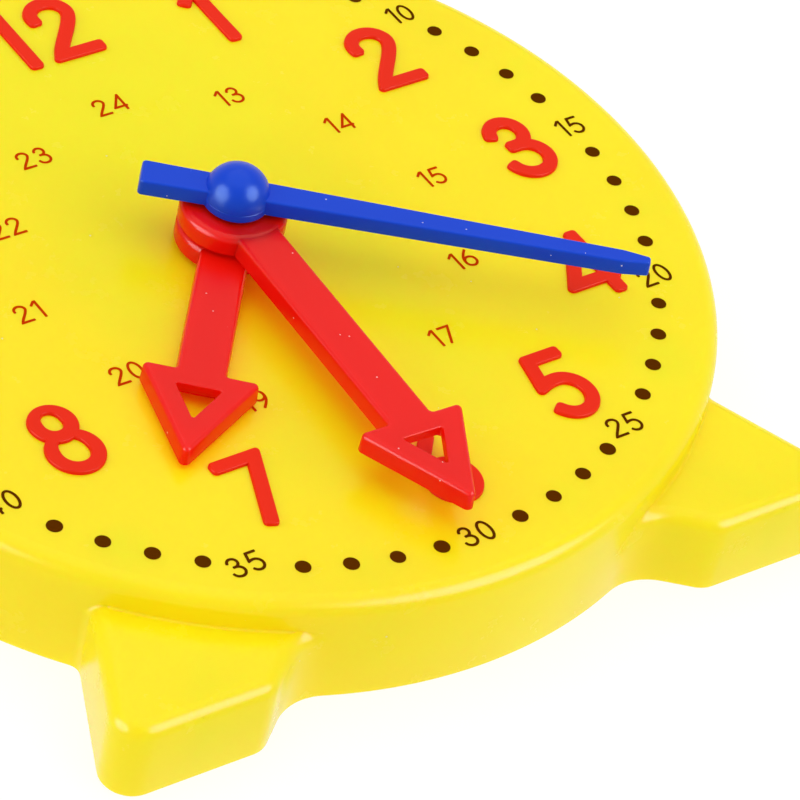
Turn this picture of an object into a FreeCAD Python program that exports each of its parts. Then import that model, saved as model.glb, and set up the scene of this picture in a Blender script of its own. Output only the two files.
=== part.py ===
import FreeCAD, Part
import math
import os

# Geared teaching clock: a round moulded body on two short feet, three linked hands on one
# centre axis, and a train of moulded gears behind the dial that a knob at the back turns.
# Millimetres. The clock lies on its back: +Z out of the dial, +Y to 12 and +X to 3.
# The origin is on the hands' axis, in the plane of the body's back rim.

# ---- body -------------------------------------------------------------------
BODY_RADIUS = 50.0
BODY_DEPTH = 12.3
BODY_WALL = 2.0
DIAL_PLATE = 1.8
RIM_ROUND = 1.3
ROUND_STEPS = 2              # turned rounds are cut as this many cones
SAME_HEIGHT = 0.001          # edges closer than this to a height lie at it

# ---- feet, drawn on the right side and mirrored -----------------------------
FOOT_STAND = 0.67            # the standing faces lie this far past the round body
FOOT_DROP = 3.4              # the feet's front lies this far below the dial
FOOT_WALL = 1.6
FOOT_INSET = 7.0             # the standing face's outer corner lies this far inside the body's side
FOOT_WIDTH = 16.7            # of the standing face, to the corners before rounding
FOOT_OUTER_LEAN = 24.0       # degrees of the outer side from upright
FOOT_INNER_LEAN = 51.0       # degrees of the inner side from upright
FOOT_OUTER_ROUND = 4.5
FOOT_INNER_ROUND = 1.8
FOOT_OUTER_WEB = 1.5         # hollow rounds where the foot runs into the body
FOOT_INNER_WEB = 6.0
FOOT_EDGE = 0.9
FOOT_BLEND = 0.8             # how far the webs run into the body's wall

# ---- gear train -------------------------------------------------------------
SECONDS_LEAVES = 6
REDUCTION_TEETH = 45
REDUCTION_LEAVES = 6
MINUTE_TEETH = 48
MINUTE_LEAVES = 10
MOTION_TEETH = 30
MOTION_LEAVES = 10
HOUR_TEETH = 40
REDUCTION_DISTANCE = 21.5    # from the hands' axis to the reduction wheel's pin
MOTION_DISTANCE = 22.0       # from the hands' axis to the setting arbor
REDUCTION_SIDE = 90.0        # degrees from +X: the reduction wheel is towards 12
MOTION_SIDE = -90.0          # and the motion wheel is towards 6
WHEEL_THICK = 1.1
LAYER_GAP = 0.3
PINION_OVERLAP = 0.12        # pinions stand this far past the wheel they drive
TOOTH_ADDENDUM = 1.2         # of a wheel, in modules
TOOTH_DEDENDUM = 1.57
TOOTH_ARCH = 1.75
LEAF_ADDENDUM = 0.53         # of a pinion, in modules
LEAF_DEDENDUM = 1.4
LEAF_WIDTH = 1.05

# ---- arbors, tubes and fits -------------------------------------------------
ARBOR_RADIUS = 0.75
SETTING_RADIUS = 1.25
TUBE_WALL = 0.9
RUNNING = 0.05               # radial clearance of everything that turns
PIVOT_DEPTH = 1.1            # of an arbor's end in the dial plate
PIN_BOSS_WALL = 1.2
BUSH_WALL = 1.0
BUSH_FLANGE = 0.3
BUSH_FLANGE_WIDTH = 1.4
BUSH_GAP = 0.1               # from the bush's flange to the hour wheel
BUSH_PROUD = 0.3
WASHER_THICK = 0.15
WASHER_WIDTH = 1.6
THRUST_GAP = 0.05

# ---- cover, the ribs that carry it, and its screws ---------------------------
RIB_GAP = 0.7                # from the widest wheel to the ribs
COVER_THICK = 1.3
COVER_GAP = 0.3              # round the cover, to the body's wall
COVER_BOSS_RADIUS = 2.9
COVER_BOSS_HEIGHT = 0.9
COVER_SKIN = 0.5             # left under the blind hole for the seconds arbor
SCREW_COUNT = 4
SCREW_INSET = 3.0            # from the outer wall's inside to the screws
SCREW_FIRST = 45.0           # degrees from +X
SCREW_RADIUS = 0.9
SCREW_LENGTH = 5.5
SCREW_HEAD_RADIUS = 1.9
SCREW_HEAD_HEIGHT = 1.2
SCREW_HOLE_GAP = 0.2
BOSS_MARGIN = 1.6
RIB_COUNT = 12
RIB_FIRST = 15.0             # degrees from +X, so that some ribs carry the screw bosses
RIB_THICK = 1.2
RIB_BITE = 0.5               # the ribs run this far into the walls they join
FOOT_RIB_DROP = 1.2          # the rib in each foot ends this far inside the back rim
FOOT_RIB_LEAN = 35.0         # degrees of the rib in each foot from upright

# ---- setting knob -----------------------------------------------------------
KNOB_RADIUS = 7.0
KNOB_RECESS = 0.5            # the knob's face lies this far inside the back rim
KNOB_FLUTES = 8
KNOB_FLUTE_RADIUS = 1.5
KNOB_FLUTE_DEPTH = 0.9
KNOB_SCREW_RADIUS = 0.6
KNOB_SCREW_HEAD_RADIUS = 1.8
KNOB_SCREW_HEAD_HEIGHT = 0.9
KNOB_SCREW_PAST = 0.05       # the knob's screw ends this far past the cover's inside
KNOB_SCREW_SINK = 0.15
KNOB_SCREW_GAP = 0.25

# ---- hands ------------------------------------------------------------------
HOUR_ANGLE = 219.6           # degrees clockwise from 12 at rest
MINUTE_ANGLE = 181.4
SECOND_ANGLE = 127.3
HAND_LIFT = 0.5              # from the dial to the hour hand
HAND_GAP = 0.1               # from one hand's hub to the next
HAND_THICK = 2.1
HUB_RADIUS = 5.4
HUB_THICK = 2.4
HUB_ROUND = 1.1
ARM_WIDTH = 4.8
HOUR_LENGTH = 33.9           # lengths and widths to the corners before rounding
MINUTE_LENGTH = 44.2
HEAD_LENGTH = 11.7
HEAD_WIDTH = 11.8
HEAD_ROUND = 0.9
HEAD_BAR = 2.2               # width of the bars round the head's opening
OPENING_ROUND = 0.3
HAND_EDGE = 0.3
SECOND_LENGTH = 41.3
SECOND_TIP_WIDTH = 0.95
SECOND_NECK = 2.7            # the tip narrows over this length
SECOND_NECK_WIDTH = 1.8
SECOND_TAIL = 9.6
SECOND_TAIL_WIDTH = 3.4
SECOND_THICK = 1.7
SECOND_LIFT = 0.2            # the bar starts this far above the foot of its boss
SECOND_CORNER = 0.4
SECOND_EDGE = 0.2
DOME_RADIUS = 3.2
DOME_STEPS = 5
DOME_STRAIGHT = 1.0          # height of the boss below the dome
DOME_CAP = 1.2               # plastic left over the arbor's end

# ---- heights worked out inwards from the dial plate --------------------------
DIAL_INSIDE = BODY_DEPTH - DIAL_PLATE
PIVOT_TOP = DIAL_INSIDE + PIVOT_DEPTH
HOUR_WHEEL_TOP = DIAL_INSIDE - BUSH_FLANGE - BUSH_GAP
HOUR_WHEEL_BASE = HOUR_WHEEL_TOP - WHEEL_THICK
MOTION_TOP = HOUR_WHEEL_BASE - LAYER_GAP
MOTION_BASE = MOTION_TOP - WHEEL_THICK
MINUTE_TOP = MOTION_BASE - LAYER_GAP
MINUTE_BASE = MINUTE_TOP - WHEEL_THICK
REDUCTION_TOP = MINUTE_BASE - LAYER_GAP
REDUCTION_BASE = REDUCTION_TOP - WHEEL_THICK
PIN_BOSS_BASE = MINUTE_TOP + PINION_OVERLAP + THRUST_GAP
COVER_INSIDE = REDUCTION_BASE - LAYER_GAP
COVER_BACK = COVER_INSIDE - COVER_THICK
COVER_BOSS_BACK = COVER_BACK - COVER_BOSS_HEIGHT
ARBOR_BACK = COVER_BOSS_BACK + COVER_SKIN
KNOB_FRONT = COVER_BACK - WASHER_THICK - THRUST_GAP
KNOB_SCREW_SEAT = KNOB_RECESS + KNOB_SCREW_SINK + KNOB_SCREW_HEAD_HEIGHT
KNOB_SCREW_LENGTH = COVER_INSIDE + KNOB_SCREW_PAST - KNOB_SCREW_SEAT
FOOT_TOP = BODY_DEPTH - FOOT_DROP

# ---- heights worked out outwards from the dial -------------------------------
HOUR_HUB_BASE = BODY_DEPTH + HAND_LIFT
HOUR_HUB_TOP = HOUR_HUB_BASE + HUB_THICK
MINUTE_HUB_BASE = HOUR_HUB_TOP + HAND_GAP
MINUTE_HUB_TOP = MINUTE_HUB_BASE + HUB_THICK
BOSS_BASE = MINUTE_HUB_TOP + HAND_GAP
DOME_BASE = BOSS_BASE + DOME_STRAIGHT
ARBOR_TOP = DOME_BASE + DOME_RADIUS - DOME_CAP

# ---- radii worked out from the arbor outwards --------------------------------
MINUTE_BORE = ARBOR_RADIUS + RUNNING
MINUTE_TUBE = MINUTE_BORE + TUBE_WALL
HOUR_BORE = MINUTE_TUBE + RUNNING
HOUR_TUBE = HOUR_BORE + TUBE_WALL
BUSH_BORE = HOUR_TUBE + RUNNING
BUSH_RADIUS = BUSH_BORE + BUSH_WALL

# ---- modules, ribs and cover, worked out from the centre distances ------------
REDUCTION_MODULE = 2 * REDUCTION_DISTANCE / (SECONDS_LEAVES + REDUCTION_TEETH)
MINUTE_MODULE = 2 * REDUCTION_DISTANCE / (REDUCTION_LEAVES + MINUTE_TEETH)
MOTION_MODULE = 2 * MOTION_DISTANCE / (MINUTE_LEAVES + MOTION_TEETH)
HOUR_MODULE = 2 * MOTION_DISTANCE / (MOTION_LEAVES + HOUR_TEETH)
REDUCTION_RIM = REDUCTION_MODULE * (REDUCTION_TEETH / 2 + TOOTH_ADDENDUM)
MOTION_RIM = MOTION_MODULE * (MOTION_TEETH / 2 + TOOTH_ADDENDUM)
RIB_START = RIB_GAP + max(REDUCTION_DISTANCE + REDUCTION_RIM, MOTION_DISTANCE + MOTION_RIM)
COVER_RADIUS = BODY_RADIUS - BODY_WALL - COVER_GAP
SCREW_RING = BODY_RADIUS - BODY_WALL - SCREW_INSET
FOOT_REACH = BODY_RADIUS + FOOT_STAND
FOOT_OUTER_X = BODY_RADIUS - FOOT_INSET
FOOT_INNER_X = FOOT_OUTER_X - FOOT_WIDTH


# ---- small helpers ----------------------------------------------------------
def point(x, y, z=0.0):
    return FreeCAD.Vector(x, y, z)


def polar(radius, degrees):
    angle = math.radians(degrees)
    return point(radius * math.cos(angle), radius * math.sin(angle))


CENTRE = point(0, 0)
UPWARDS = point(0, 0, 1)
REDUCTION_AXIS = polar(REDUCTION_DISTANCE, REDUCTION_SIDE)
MOTION_AXIS = polar(MOTION_DISTANCE, MOTION_SIDE)


def cylinder(radius, base, top, centre=CENTRE):
    return Part.makeCylinder(radius, top - base, point(centre.x, centre.y, base))


def ring(radius, bore, base, top, centre=CENTRE):
    return cylinder(radius, base, top, centre).cut(cylinder(bore, base, top, centre))


def turned_disc(radius, base, top, edge_round, steps=ROUND_STEPS):
    """Disc whose upper edge is rounded in conical steps; a dome where the round is the radius."""
    profile = [point(0, 0, base), point(radius, 0, base)]
    for step in range(steps):
        angle = math.pi / 2 * step / steps
        inset = edge_round * (1 - math.cos(angle))
        drop = edge_round * (1 - math.sin(angle))
        profile.append(point(radius - inset, 0, top - drop))
    if edge_round < radius:
        profile.append(point(radius - edge_round, 0, top))
    profile.append(point(0, 0, top))
    return Part.Face(Part.makePolygon(profile + profile[:1])).revolve(CENTRE, UPWARDS, 360)


def prism(outline, base, top):
    """Upright solid on a flat closed outline that is drawn at height 0."""
    face = Part.Face(outline)
    face.translate(UPWARDS * base)
    return face.extrude(UPWARDS * (top - base))


def corner_round(corner, toward_start, toward_end, radius):
    """Arc that rounds a corner, with its ends on the two directions that leave it."""
    half = toward_start.getAngle(toward_end) / 2
    reach = radius / math.tan(half)
    start = corner + toward_start * reach
    end = corner + toward_end * reach
    middle = (toward_start + toward_end).normalize() * (radius / math.sin(half) - radius)
    return start, end, Part.Arc(start, corner + middle, end).toShape()


def rounded_outline(corners):
    """Closed wire through corners (x, y, radius), where radius 0 leaves a corner sharp."""
    places = [point(x, y) for x, y, _ in corners]
    starts = []
    ends = []
    edges = []
    for index, (_, _, radius) in enumerate(corners):
        corner = places[index]
        before = (places[index - 1] - corner).normalize()
        after = (places[(index + 1) % len(corners)] - corner).normalize()
        start, end = corner, corner
        if radius > 0:
            start, end, arc = corner_round(corner, before, after, radius)
            edges.append(arc)
        starts.append(start)
        ends.append(end)
    for index, end in enumerate(ends):
        edges.append(Part.makeLine(end, starts[(index + 1) % len(corners)]))
    return Part.Wire(Part.sortEdges(edges)[0])


def edges_at(shape, height):
    """Edges that lie flat at one height."""
    flat = []
    for edge in shape.Edges:
        box = edge.BoundBox
        if abs(box.ZMin - height) < SAME_HEIGHT and abs(box.ZMax - height) < SAME_HEIGHT:
            flat.append(edge)
    return flat


def turned(shape, degrees):
    """The shape turned about the hands' axis, counter-clockwise."""
    return shape.rotated(CENTRE, UPWARDS, degrees)


def mirrored(shape):
    """The shape's mirror image across the line from 12 to 6."""
    return shape.mirror(CENTRE, point(1, 0, 0))


# ---- toothed outlines -------------------------------------------------------
def arch_middle(start, end, radius, outward):
    """Middle of the arc that joins two points and bows towards the given direction."""
    chord = end - start
    sagitta = radius - math.sqrt(radius ** 2 - chord.Length ** 2 / 4)
    side = point(-chord.y, chord.x).normalize()
    if side.dot(outward) < 0:
        sagitta = -sagitta
    return (start + end) / 2 + side * sagitta


def wheel_outline(module, teeth, tooth_at):
    """Clock wheel: radial flanks below the pitch circle and pointed arches above it."""
    pitch = module * teeth / 2
    root = pitch - module * TOOTH_DEDENDUM
    tip = pitch + module * TOOTH_ADDENDUM
    step = 360.0 / teeth
    corners = []
    for number in range(teeth):
        middle = tooth_at + number * step
        across = polar(1.0, middle + 90)
        right = polar(pitch, middle - step / 4)
        peak = polar(tip, middle)
        left = polar(pitch, middle + step / 4)
        corners.append(polar(root, middle - step / 4))
        corners.append(right)
        corners.append(arch_middle(right, peak, module * TOOTH_ARCH, across * -1))
        corners.append(peak)
        corners.append(arch_middle(peak, left, module * TOOTH_ARCH, across))
        corners.append(left)
        corners.append(polar(root, middle + step / 4))
    return Part.makePolygon(corners + corners[:1])


def pinion_outline(module, leaves, leaf_at):
    """Clock pinion: radial leaves with blunt round tips."""
    pitch = module * leaves / 2
    root = pitch - module * LEAF_DEDENDUM
    shoulder = pitch + module * LEAF_ADDENDUM * math.sin(math.radians(60))
    half = math.degrees(LEAF_WIDTH / leaves)
    corners = []
    for number in range(leaves):
        middle = leaf_at + number * 360.0 / leaves
        corners.append(polar(root, middle - half))
        corners.append(polar(pitch, middle - half))
        corners.append(polar(shoulder, middle - half / 2))
        corners.append(polar(shoulder, middle + half / 2))
        corners.append(polar(pitch, middle + half))
        corners.append(polar(root, middle + half))
    return Part.makePolygon(corners + corners[:1])


def placed(outline, centre):
    """A copy of an outline, moved to another axis."""
    moved = outline.copy()
    moved.translate(centre)
    return moved


# ---- body -------------------------------------------------------------------
def foot_outline():
    """Right foot: standing face, two leaning sides, and hollow rounds into the body."""
    sides = (
        (FOOT_OUTER_X, FOOT_OUTER_LEAN, 1, FOOT_OUTER_ROUND, FOOT_OUTER_WEB),
        (FOOT_INNER_X, FOOT_INNER_LEAN, -1, FOOT_INNER_ROUND, FOOT_INNER_WEB),
    )
    edges = []
    standing = []
    inside = []
    for corner_x, lean, facing, corner_radius, web_radius in sides:
        corner = point(corner_x, -FOOT_REACH)
        up = polar(1.0, 90 + lean)
        outward = polar(facing, lean)
        low, high, arc = corner_round(corner, point(-facing, 0), up, corner_radius)

        start = corner + outward * web_radius
        reach = BODY_RADIUS - FOOT_BLEND + web_radius
        lead = start.dot(up)
        web_centre = start - up * (lead + math.sqrt(lead ** 2 - start.dot(start) + reach ** 2))
        on_side = web_centre - outward * web_radius
        to_body = web_centre * (-web_radius / reach)
        middle = (to_body - outward * web_radius).normalize() * web_radius
        web = Part.Arc(on_side, web_centre + middle, web_centre + to_body).toShape()

        edges.extend([arc, Part.makeLine(high, on_side), web])
        standing.append(low)
        inside.append(web_centre + to_body)
    edges.append(Part.makeLine(*standing))
    edges.append(Part.makeLine(*inside))
    return Part.Wire(Part.sortEdges(edges)[0])


def foot():
    block = prism(foot_outline(), 0, FOOT_TOP)
    shown = []
    for edge in edges_at(block, FOOT_TOP):
        if math.hypot(edge.CenterOfMass.x, edge.CenterOfMass.y) > BODY_RADIUS - FOOT_BLEND:
            shown.append(edge)
    return block.makeChamfer(FOOT_EDGE, shown)


def foot_pocket():
    """Hollow of the right foot, open at the back, with a rib across it."""
    floor = Part.Face(foot_outline()).makeOffset2D(-FOOT_WALL)
    pocket = floor.extrude(UPWARDS * (FOOT_TOP - FOOT_WALL))
    pocket = pocket.cut(cylinder(BODY_RADIUS, 0, BODY_DEPTH))
    rib = Part.makeBox(RIB_THICK, BODY_RADIUS, BODY_DEPTH, point(-RIB_THICK / 2, 0, FOOT_RIB_DROP))
    rib = rib.rotated(CENTRE, UPWARDS, FOOT_RIB_LEAN)
    rib.translate(point((FOOT_OUTER_X + FOOT_INNER_X) / 2, -FOOT_REACH))
    return pocket.cut(rib)


def screw_places():
    return [polar(SCREW_RING, SCREW_FIRST + number * 360.0 / SCREW_COUNT) for number in range(SCREW_COUNT)]


def shell_ribs():
    """Ribs inside the outer wall, on which the cover lies."""
    length = BODY_RADIUS - BODY_WALL + RIB_BITE - RIB_START
    height = DIAL_INSIDE + RIB_BITE - COVER_INSIDE
    rib = Part.makeBox(length, RIB_THICK, height, point(RIB_START, -RIB_THICK / 2, COVER_INSIDE))
    return [turned(rib, RIB_FIRST + number * 360.0 / RIB_COUNT) for number in range(RIB_COUNT)]


def front_shell():
    """Hollow moulding: dial, outer wall, feet, ribs, screw bosses and the pin's boss."""
    disc = turned_disc(BODY_RADIUS, 0, BODY_DEPTH, RIM_ROUND)
    shell = disc.fuse([foot(), mirrored(foot())])
    shell = shell.cut(cylinder(BODY_RADIUS - BODY_WALL, 0, DIAL_INSIDE))

    pin_boss = cylinder(ARBOR_RADIUS + PIN_BOSS_WALL, PIN_BOSS_BASE, DIAL_INSIDE, REDUCTION_AXIS)
    additions = [pin_boss] + shell_ribs()
    for place in screw_places():
        additions.append(cylinder(SCREW_RADIUS + BOSS_MARGIN, COVER_INSIDE, DIAL_INSIDE, place))
    shell = shell.fuse(additions)

    holes = [
        cylinder(BUSH_RADIUS, DIAL_INSIDE, BODY_DEPTH),
        cylinder(ARBOR_RADIUS, PIN_BOSS_BASE, PIVOT_TOP, REDUCTION_AXIS),
        cylinder(SETTING_RADIUS + RUNNING, DIAL_INSIDE, PIVOT_TOP, MOTION_AXIS),
        foot_pocket(),
        mirrored(foot_pocket()),
    ]
    screw_end = COVER_BACK + SCREW_LENGTH
    for place in screw_places():
        holes.append(cylinder(SCREW_RADIUS, COVER_INSIDE, screw_end, place))
    return shell.cut(holes).removeSplitter()


def dial_bush():
    """Flanged bush in the dial plate, in which the hour tube turns."""
    base = DIAL_INSIDE - BUSH_FLANGE
    barrel = ring(BUSH_RADIUS, BUSH_BORE, base, BODY_DEPTH + BUSH_PROUD)
    flange = ring(BUSH_RADIUS + BUSH_FLANGE_WIDTH, BUSH_BORE, base, DIAL_INSIDE)
    return barrel.fuse(flange).removeSplitter()


# ---- cover ------------------------------------------------------------------
def rear_cover():
    """Round clear cover with a bearing for each arbor and a boss round the middle one."""
    plate = cylinder(COVER_RADIUS, COVER_BACK, COVER_INSIDE)
    plate = plate.fuse(cylinder(COVER_BOSS_RADIUS, COVER_BOSS_BACK, COVER_BACK))
    holes = [
        cylinder(ARBOR_RADIUS + RUNNING, ARBOR_BACK, COVER_INSIDE),
        cylinder(ARBOR_RADIUS, COVER_BACK, COVER_INSIDE, REDUCTION_AXIS),
        cylinder(SETTING_RADIUS + RUNNING, COVER_BACK, COVER_INSIDE, MOTION_AXIS),
    ]
    for place in screw_places():
        holes.append(cylinder(SCREW_RADIUS + SCREW_HOLE_GAP, COVER_BACK, COVER_INSIDE, place))
    return plate.cut(holes).removeSplitter()


def headed_screw(radius, length, head_radius, head_height, seat, centre):
    """Screw driven in from the back; its head ends at the given seat height."""
    head = cylinder(head_radius, seat - head_height, seat, centre)
    return head.fuse(cylinder(radius, seat, seat + length, centre))


def cover_screws():
    screws = []
    for place in screw_places():
        screws.append(
            headed_screw(SCREW_RADIUS, SCREW_LENGTH, SCREW_HEAD_RADIUS, SCREW_HEAD_HEIGHT, COVER_BACK, place)
        )
    return Part.makeCompound(screws)


# ---- gear train, from the seconds to the hours ------------------------------
def seconds_arbor():
    return cylinder(ARBOR_RADIUS, ARBOR_BACK, ARBOR_TOP)


def seconds_pinion():
    outline = pinion_outline(REDUCTION_MODULE, SECONDS_LEAVES, REDUCTION_SIDE)
    base = REDUCTION_BASE - PINION_OVERLAP
    return prism(outline, base, REDUCTION_TOP).cut(cylinder(ARBOR_RADIUS, base, REDUCTION_TOP))


def seconds_washer():
    return ring(MINUTE_BORE + WASHER_WIDTH, MINUTE_BORE, MINUTE_BASE - WASHER_THICK, MINUTE_BASE)


def reduction_wheel():
    """Wheel driven by the seconds pinion, in one moulding with the pinion that drives the minutes."""
    facing = REDUCTION_SIDE + 180
    wheel = wheel_outline(REDUCTION_MODULE, REDUCTION_TEETH, facing + 180.0 / REDUCTION_TEETH)
    pinion = pinion_outline(MINUTE_MODULE, REDUCTION_LEAVES, facing)
    body = prism(placed(wheel, REDUCTION_AXIS), REDUCTION_BASE, REDUCTION_TOP)
    leaves = prism(placed(pinion, REDUCTION_AXIS), REDUCTION_TOP, MINUTE_TOP + PINION_OVERLAP)
    return body.fuse(leaves).cut(cylinder(ARBOR_RADIUS + RUNNING, 0, BODY_DEPTH, REDUCTION_AXIS))


def reduction_pin():
    return cylinder(ARBOR_RADIUS, COVER_BACK, PIVOT_TOP, REDUCTION_AXIS)


def minute_wheel():
    """Wheel, pinion and the tube that carries the minute hand, in one moulding."""
    wheel = wheel_outline(MINUTE_MODULE, MINUTE_TEETH, REDUCTION_SIDE + 180.0 / MINUTE_TEETH)
    pinion = pinion_outline(MOTION_MODULE, MINUTE_LEAVES, MOTION_SIDE)
    leaves = prism(pinion, MINUTE_TOP, MOTION_TOP + PINION_OVERLAP)
    stem = cylinder(MINUTE_TUBE, MINUTE_BASE, MINUTE_HUB_TOP)
    body = prism(wheel, MINUTE_BASE, MINUTE_TOP).fuse([leaves, stem])
    return body.cut(cylinder(MINUTE_BORE, MINUTE_BASE, MINUTE_HUB_TOP))


def minute_washer():
    base = HOUR_WHEEL_BASE - WASHER_THICK
    return ring(HOUR_BORE + WASHER_WIDTH, HOUR_BORE, base, HOUR_WHEEL_BASE)


def motion_wheel():
    """Wheel driven by the minute pinion, in one moulding with the pinion that drives the hours."""
    facing = MOTION_SIDE + 180
    wheel = wheel_outline(MOTION_MODULE, MOTION_TEETH, facing + 180.0 / MOTION_TEETH)
    pinion = pinion_outline(HOUR_MODULE, MOTION_LEAVES, facing)
    body = prism(placed(wheel, MOTION_AXIS), MOTION_BASE, MOTION_TOP)
    leaves = prism(placed(pinion, MOTION_AXIS), MOTION_TOP, HOUR_WHEEL_TOP + PINION_OVERLAP)
    return body.fuse(leaves).cut(cylinder(SETTING_RADIUS, 0, BODY_DEPTH, MOTION_AXIS))


def hour_wheel():
    """Wheel and the tube that carries the hour hand, in one moulding."""
    wheel = wheel_outline(HOUR_MODULE, HOUR_TEETH, MOTION_SIDE + 180.0 / HOUR_TEETH)
    stem = cylinder(HOUR_TUBE, HOUR_WHEEL_BASE, HOUR_HUB_TOP)
    body = prism(wheel, HOUR_WHEEL_BASE, HOUR_WHEEL_TOP).fuse(stem)
    return body.cut(cylinder(HOUR_BORE, HOUR_WHEEL_BASE, HOUR_HUB_TOP))


# ---- setting knob -----------------------------------------------------------
def setting_arbor():
    arbor = cylinder(SETTING_RADIUS, KNOB_SCREW_SEAT, PIVOT_TOP, MOTION_AXIS)
    thread_end = KNOB_SCREW_SEAT + KNOB_SCREW_LENGTH
    return arbor.cut(cylinder(KNOB_SCREW_RADIUS, KNOB_SCREW_SEAT, thread_end, MOTION_AXIS))


def setting_washer():
    bore = SETTING_RADIUS + RUNNING
    return ring(bore + WASHER_WIDTH, bore, KNOB_FRONT, KNOB_FRONT + WASHER_THICK, MOTION_AXIS)


def setting_knob():
    """Fluted knob with a sunk seat for its screw."""
    knob = cylinder(KNOB_RADIUS, KNOB_RECESS, KNOB_FRONT)
    flute_ring = KNOB_RADIUS + KNOB_FLUTE_RADIUS - KNOB_FLUTE_DEPTH
    flutes = []
    for number in range(KNOB_FLUTES):
        place = polar(flute_ring, number * 360.0 / KNOB_FLUTES)
        flutes.append(cylinder(KNOB_FLUTE_RADIUS, 0, BODY_DEPTH, place))
    knob = knob.cut(flutes)
    knob = knob.cut(
        [
            cylinder(KNOB_SCREW_HEAD_RADIUS + KNOB_SCREW_GAP, 0, KNOB_SCREW_SEAT),
            cylinder(SETTING_RADIUS, 0, BODY_DEPTH),
        ]
    )
    knob.translate(MOTION_AXIS)
    return knob


def knob_screw():
    return headed_screw(
        KNOB_SCREW_RADIUS,
        KNOB_SCREW_LENGTH,
        KNOB_SCREW_HEAD_RADIUS,
        KNOB_SCREW_HEAD_HEIGHT,
        KNOB_SCREW_SEAT,
        MOTION_AXIS,
    )


# ---- hands, drawn towards 12 and turned to where they point ------------------
def arrow_outline(length):
    back = length - HEAD_LENGTH
    half_arm = ARM_WIDTH / 2
    half_head = HEAD_WIDTH / 2
    return rounded_outline(
        [
            (-half_arm, 0, 0),
            (-half_arm, back, 0),
            (-half_head, back, HEAD_ROUND),
            (0, length, HEAD_ROUND),
            (half_head, back, HEAD_ROUND),
            (half_arm, back, 0),
            (half_arm, 0, 0),
        ]
    )


def arrow_opening(length):
    """Three-cornered opening that leaves bars of even width round it."""
    slant = math.hypot(HEAD_LENGTH, HEAD_WIDTH / 2)
    inscribed_radius = HEAD_WIDTH * HEAD_LENGTH / (HEAD_WIDTH + 2 * slant)
    share = 1 - HEAD_BAR / inscribed_radius
    back = length - HEAD_LENGTH + HEAD_BAR
    half = HEAD_WIDTH / 2 * share
    return rounded_outline(
        [
            (-half, back, OPENING_ROUND),
            (0, back + HEAD_LENGTH * share, OPENING_ROUND),
            (half, back, OPENING_ROUND),
        ]
    )


def arrow_hand(length, base, bore, clock_angle):
    """Hand with a round hub, a straight arm and an open arrowhead."""
    top = base + HAND_THICK
    blade = prism(arrow_outline(length), base, top)
    upper = [edge for edge in edges_at(blade, top) if edge.CenterOfMass.y > HUB_RADIUS / 2]
    blade = blade.makeChamfer(HAND_EDGE, upper)
    hub_top = base + HUB_THICK
    hub = turned_disc(HUB_RADIUS, base, hub_top, HUB_ROUND)
    hand = hub.fuse(blade).cut([prism(arrow_opening(length), base, top), cylinder(bore, base, hub_top)])
    return turned(hand.removeSplitter(), -clock_angle)


def hour_hand():
    return arrow_hand(HOUR_LENGTH, HOUR_HUB_BASE, HOUR_TUBE, HOUR_ANGLE)


def minute_hand():
    return arrow_hand(MINUTE_LENGTH, MINUTE_HUB_BASE, MINUTE_TUBE, MINUTE_ANGLE)


def second_hand():
    """Tapered bar with a short tail, on a domed boss."""
    neck = SECOND_LENGTH - SECOND_NECK
    base = BOSS_BASE + SECOND_LIFT
    top = base + SECOND_THICK
    outline = rounded_outline(
        [
            (-SECOND_TAIL_WIDTH / 2, -SECOND_TAIL, SECOND_CORNER),
            (-SECOND_NECK_WIDTH / 2, neck, SECOND_CORNER),
            (-SECOND_TIP_WIDTH / 2, SECOND_LENGTH, SECOND_CORNER),
            (SECOND_TIP_WIDTH / 2, SECOND_LENGTH, SECOND_CORNER),
            (SECOND_NECK_WIDTH / 2, neck, SECOND_CORNER),
            (SECOND_TAIL_WIDTH / 2, -SECOND_TAIL, SECOND_CORNER),
        ]
    )
    bar = prism(outline, base, top)
    bar = bar.makeChamfer(SECOND_EDGE, edges_at(bar, top))
    boss = turned_disc(DOME_RADIUS, BOSS_BASE, DOME_BASE + DOME_RADIUS, DOME_RADIUS, DOME_STEPS)
    hand = boss.fuse(bar).cut(cylinder(ARBOR_RADIUS, BOSS_BASE, ARBOR_TOP))
    return turned(hand.removeSplitter(), -SECOND_ANGLE)


PIECES = (
    front_shell,
    dial_bush,
    rear_cover,
    cover_screws,
    reduction_pin,
    second_hand,
    seconds_arbor,
    seconds_pinion,
    seconds_washer,
    reduction_wheel,
    minute_hand,
    minute_wheel,
    minute_washer,
    motion_wheel,
    setting_arbor,
    setting_washer,
    setting_knob,
    knob_screw,
    hour_wheel,
    hour_hand,
)

os.makedirs("parts", exist_ok=True)
for piece in PIECES:
    piece().exportStep("parts/" + piece.__name__ + ".step")
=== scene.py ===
import math

import bmesh
import bpy
from bpy.props import FloatProperty, FloatVectorProperty, IntProperty, PointerProperty
from mathutils import Matrix, Vector
from mathutils.geometry import delaunay_2d_cdt, interpolate_bezier


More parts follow.
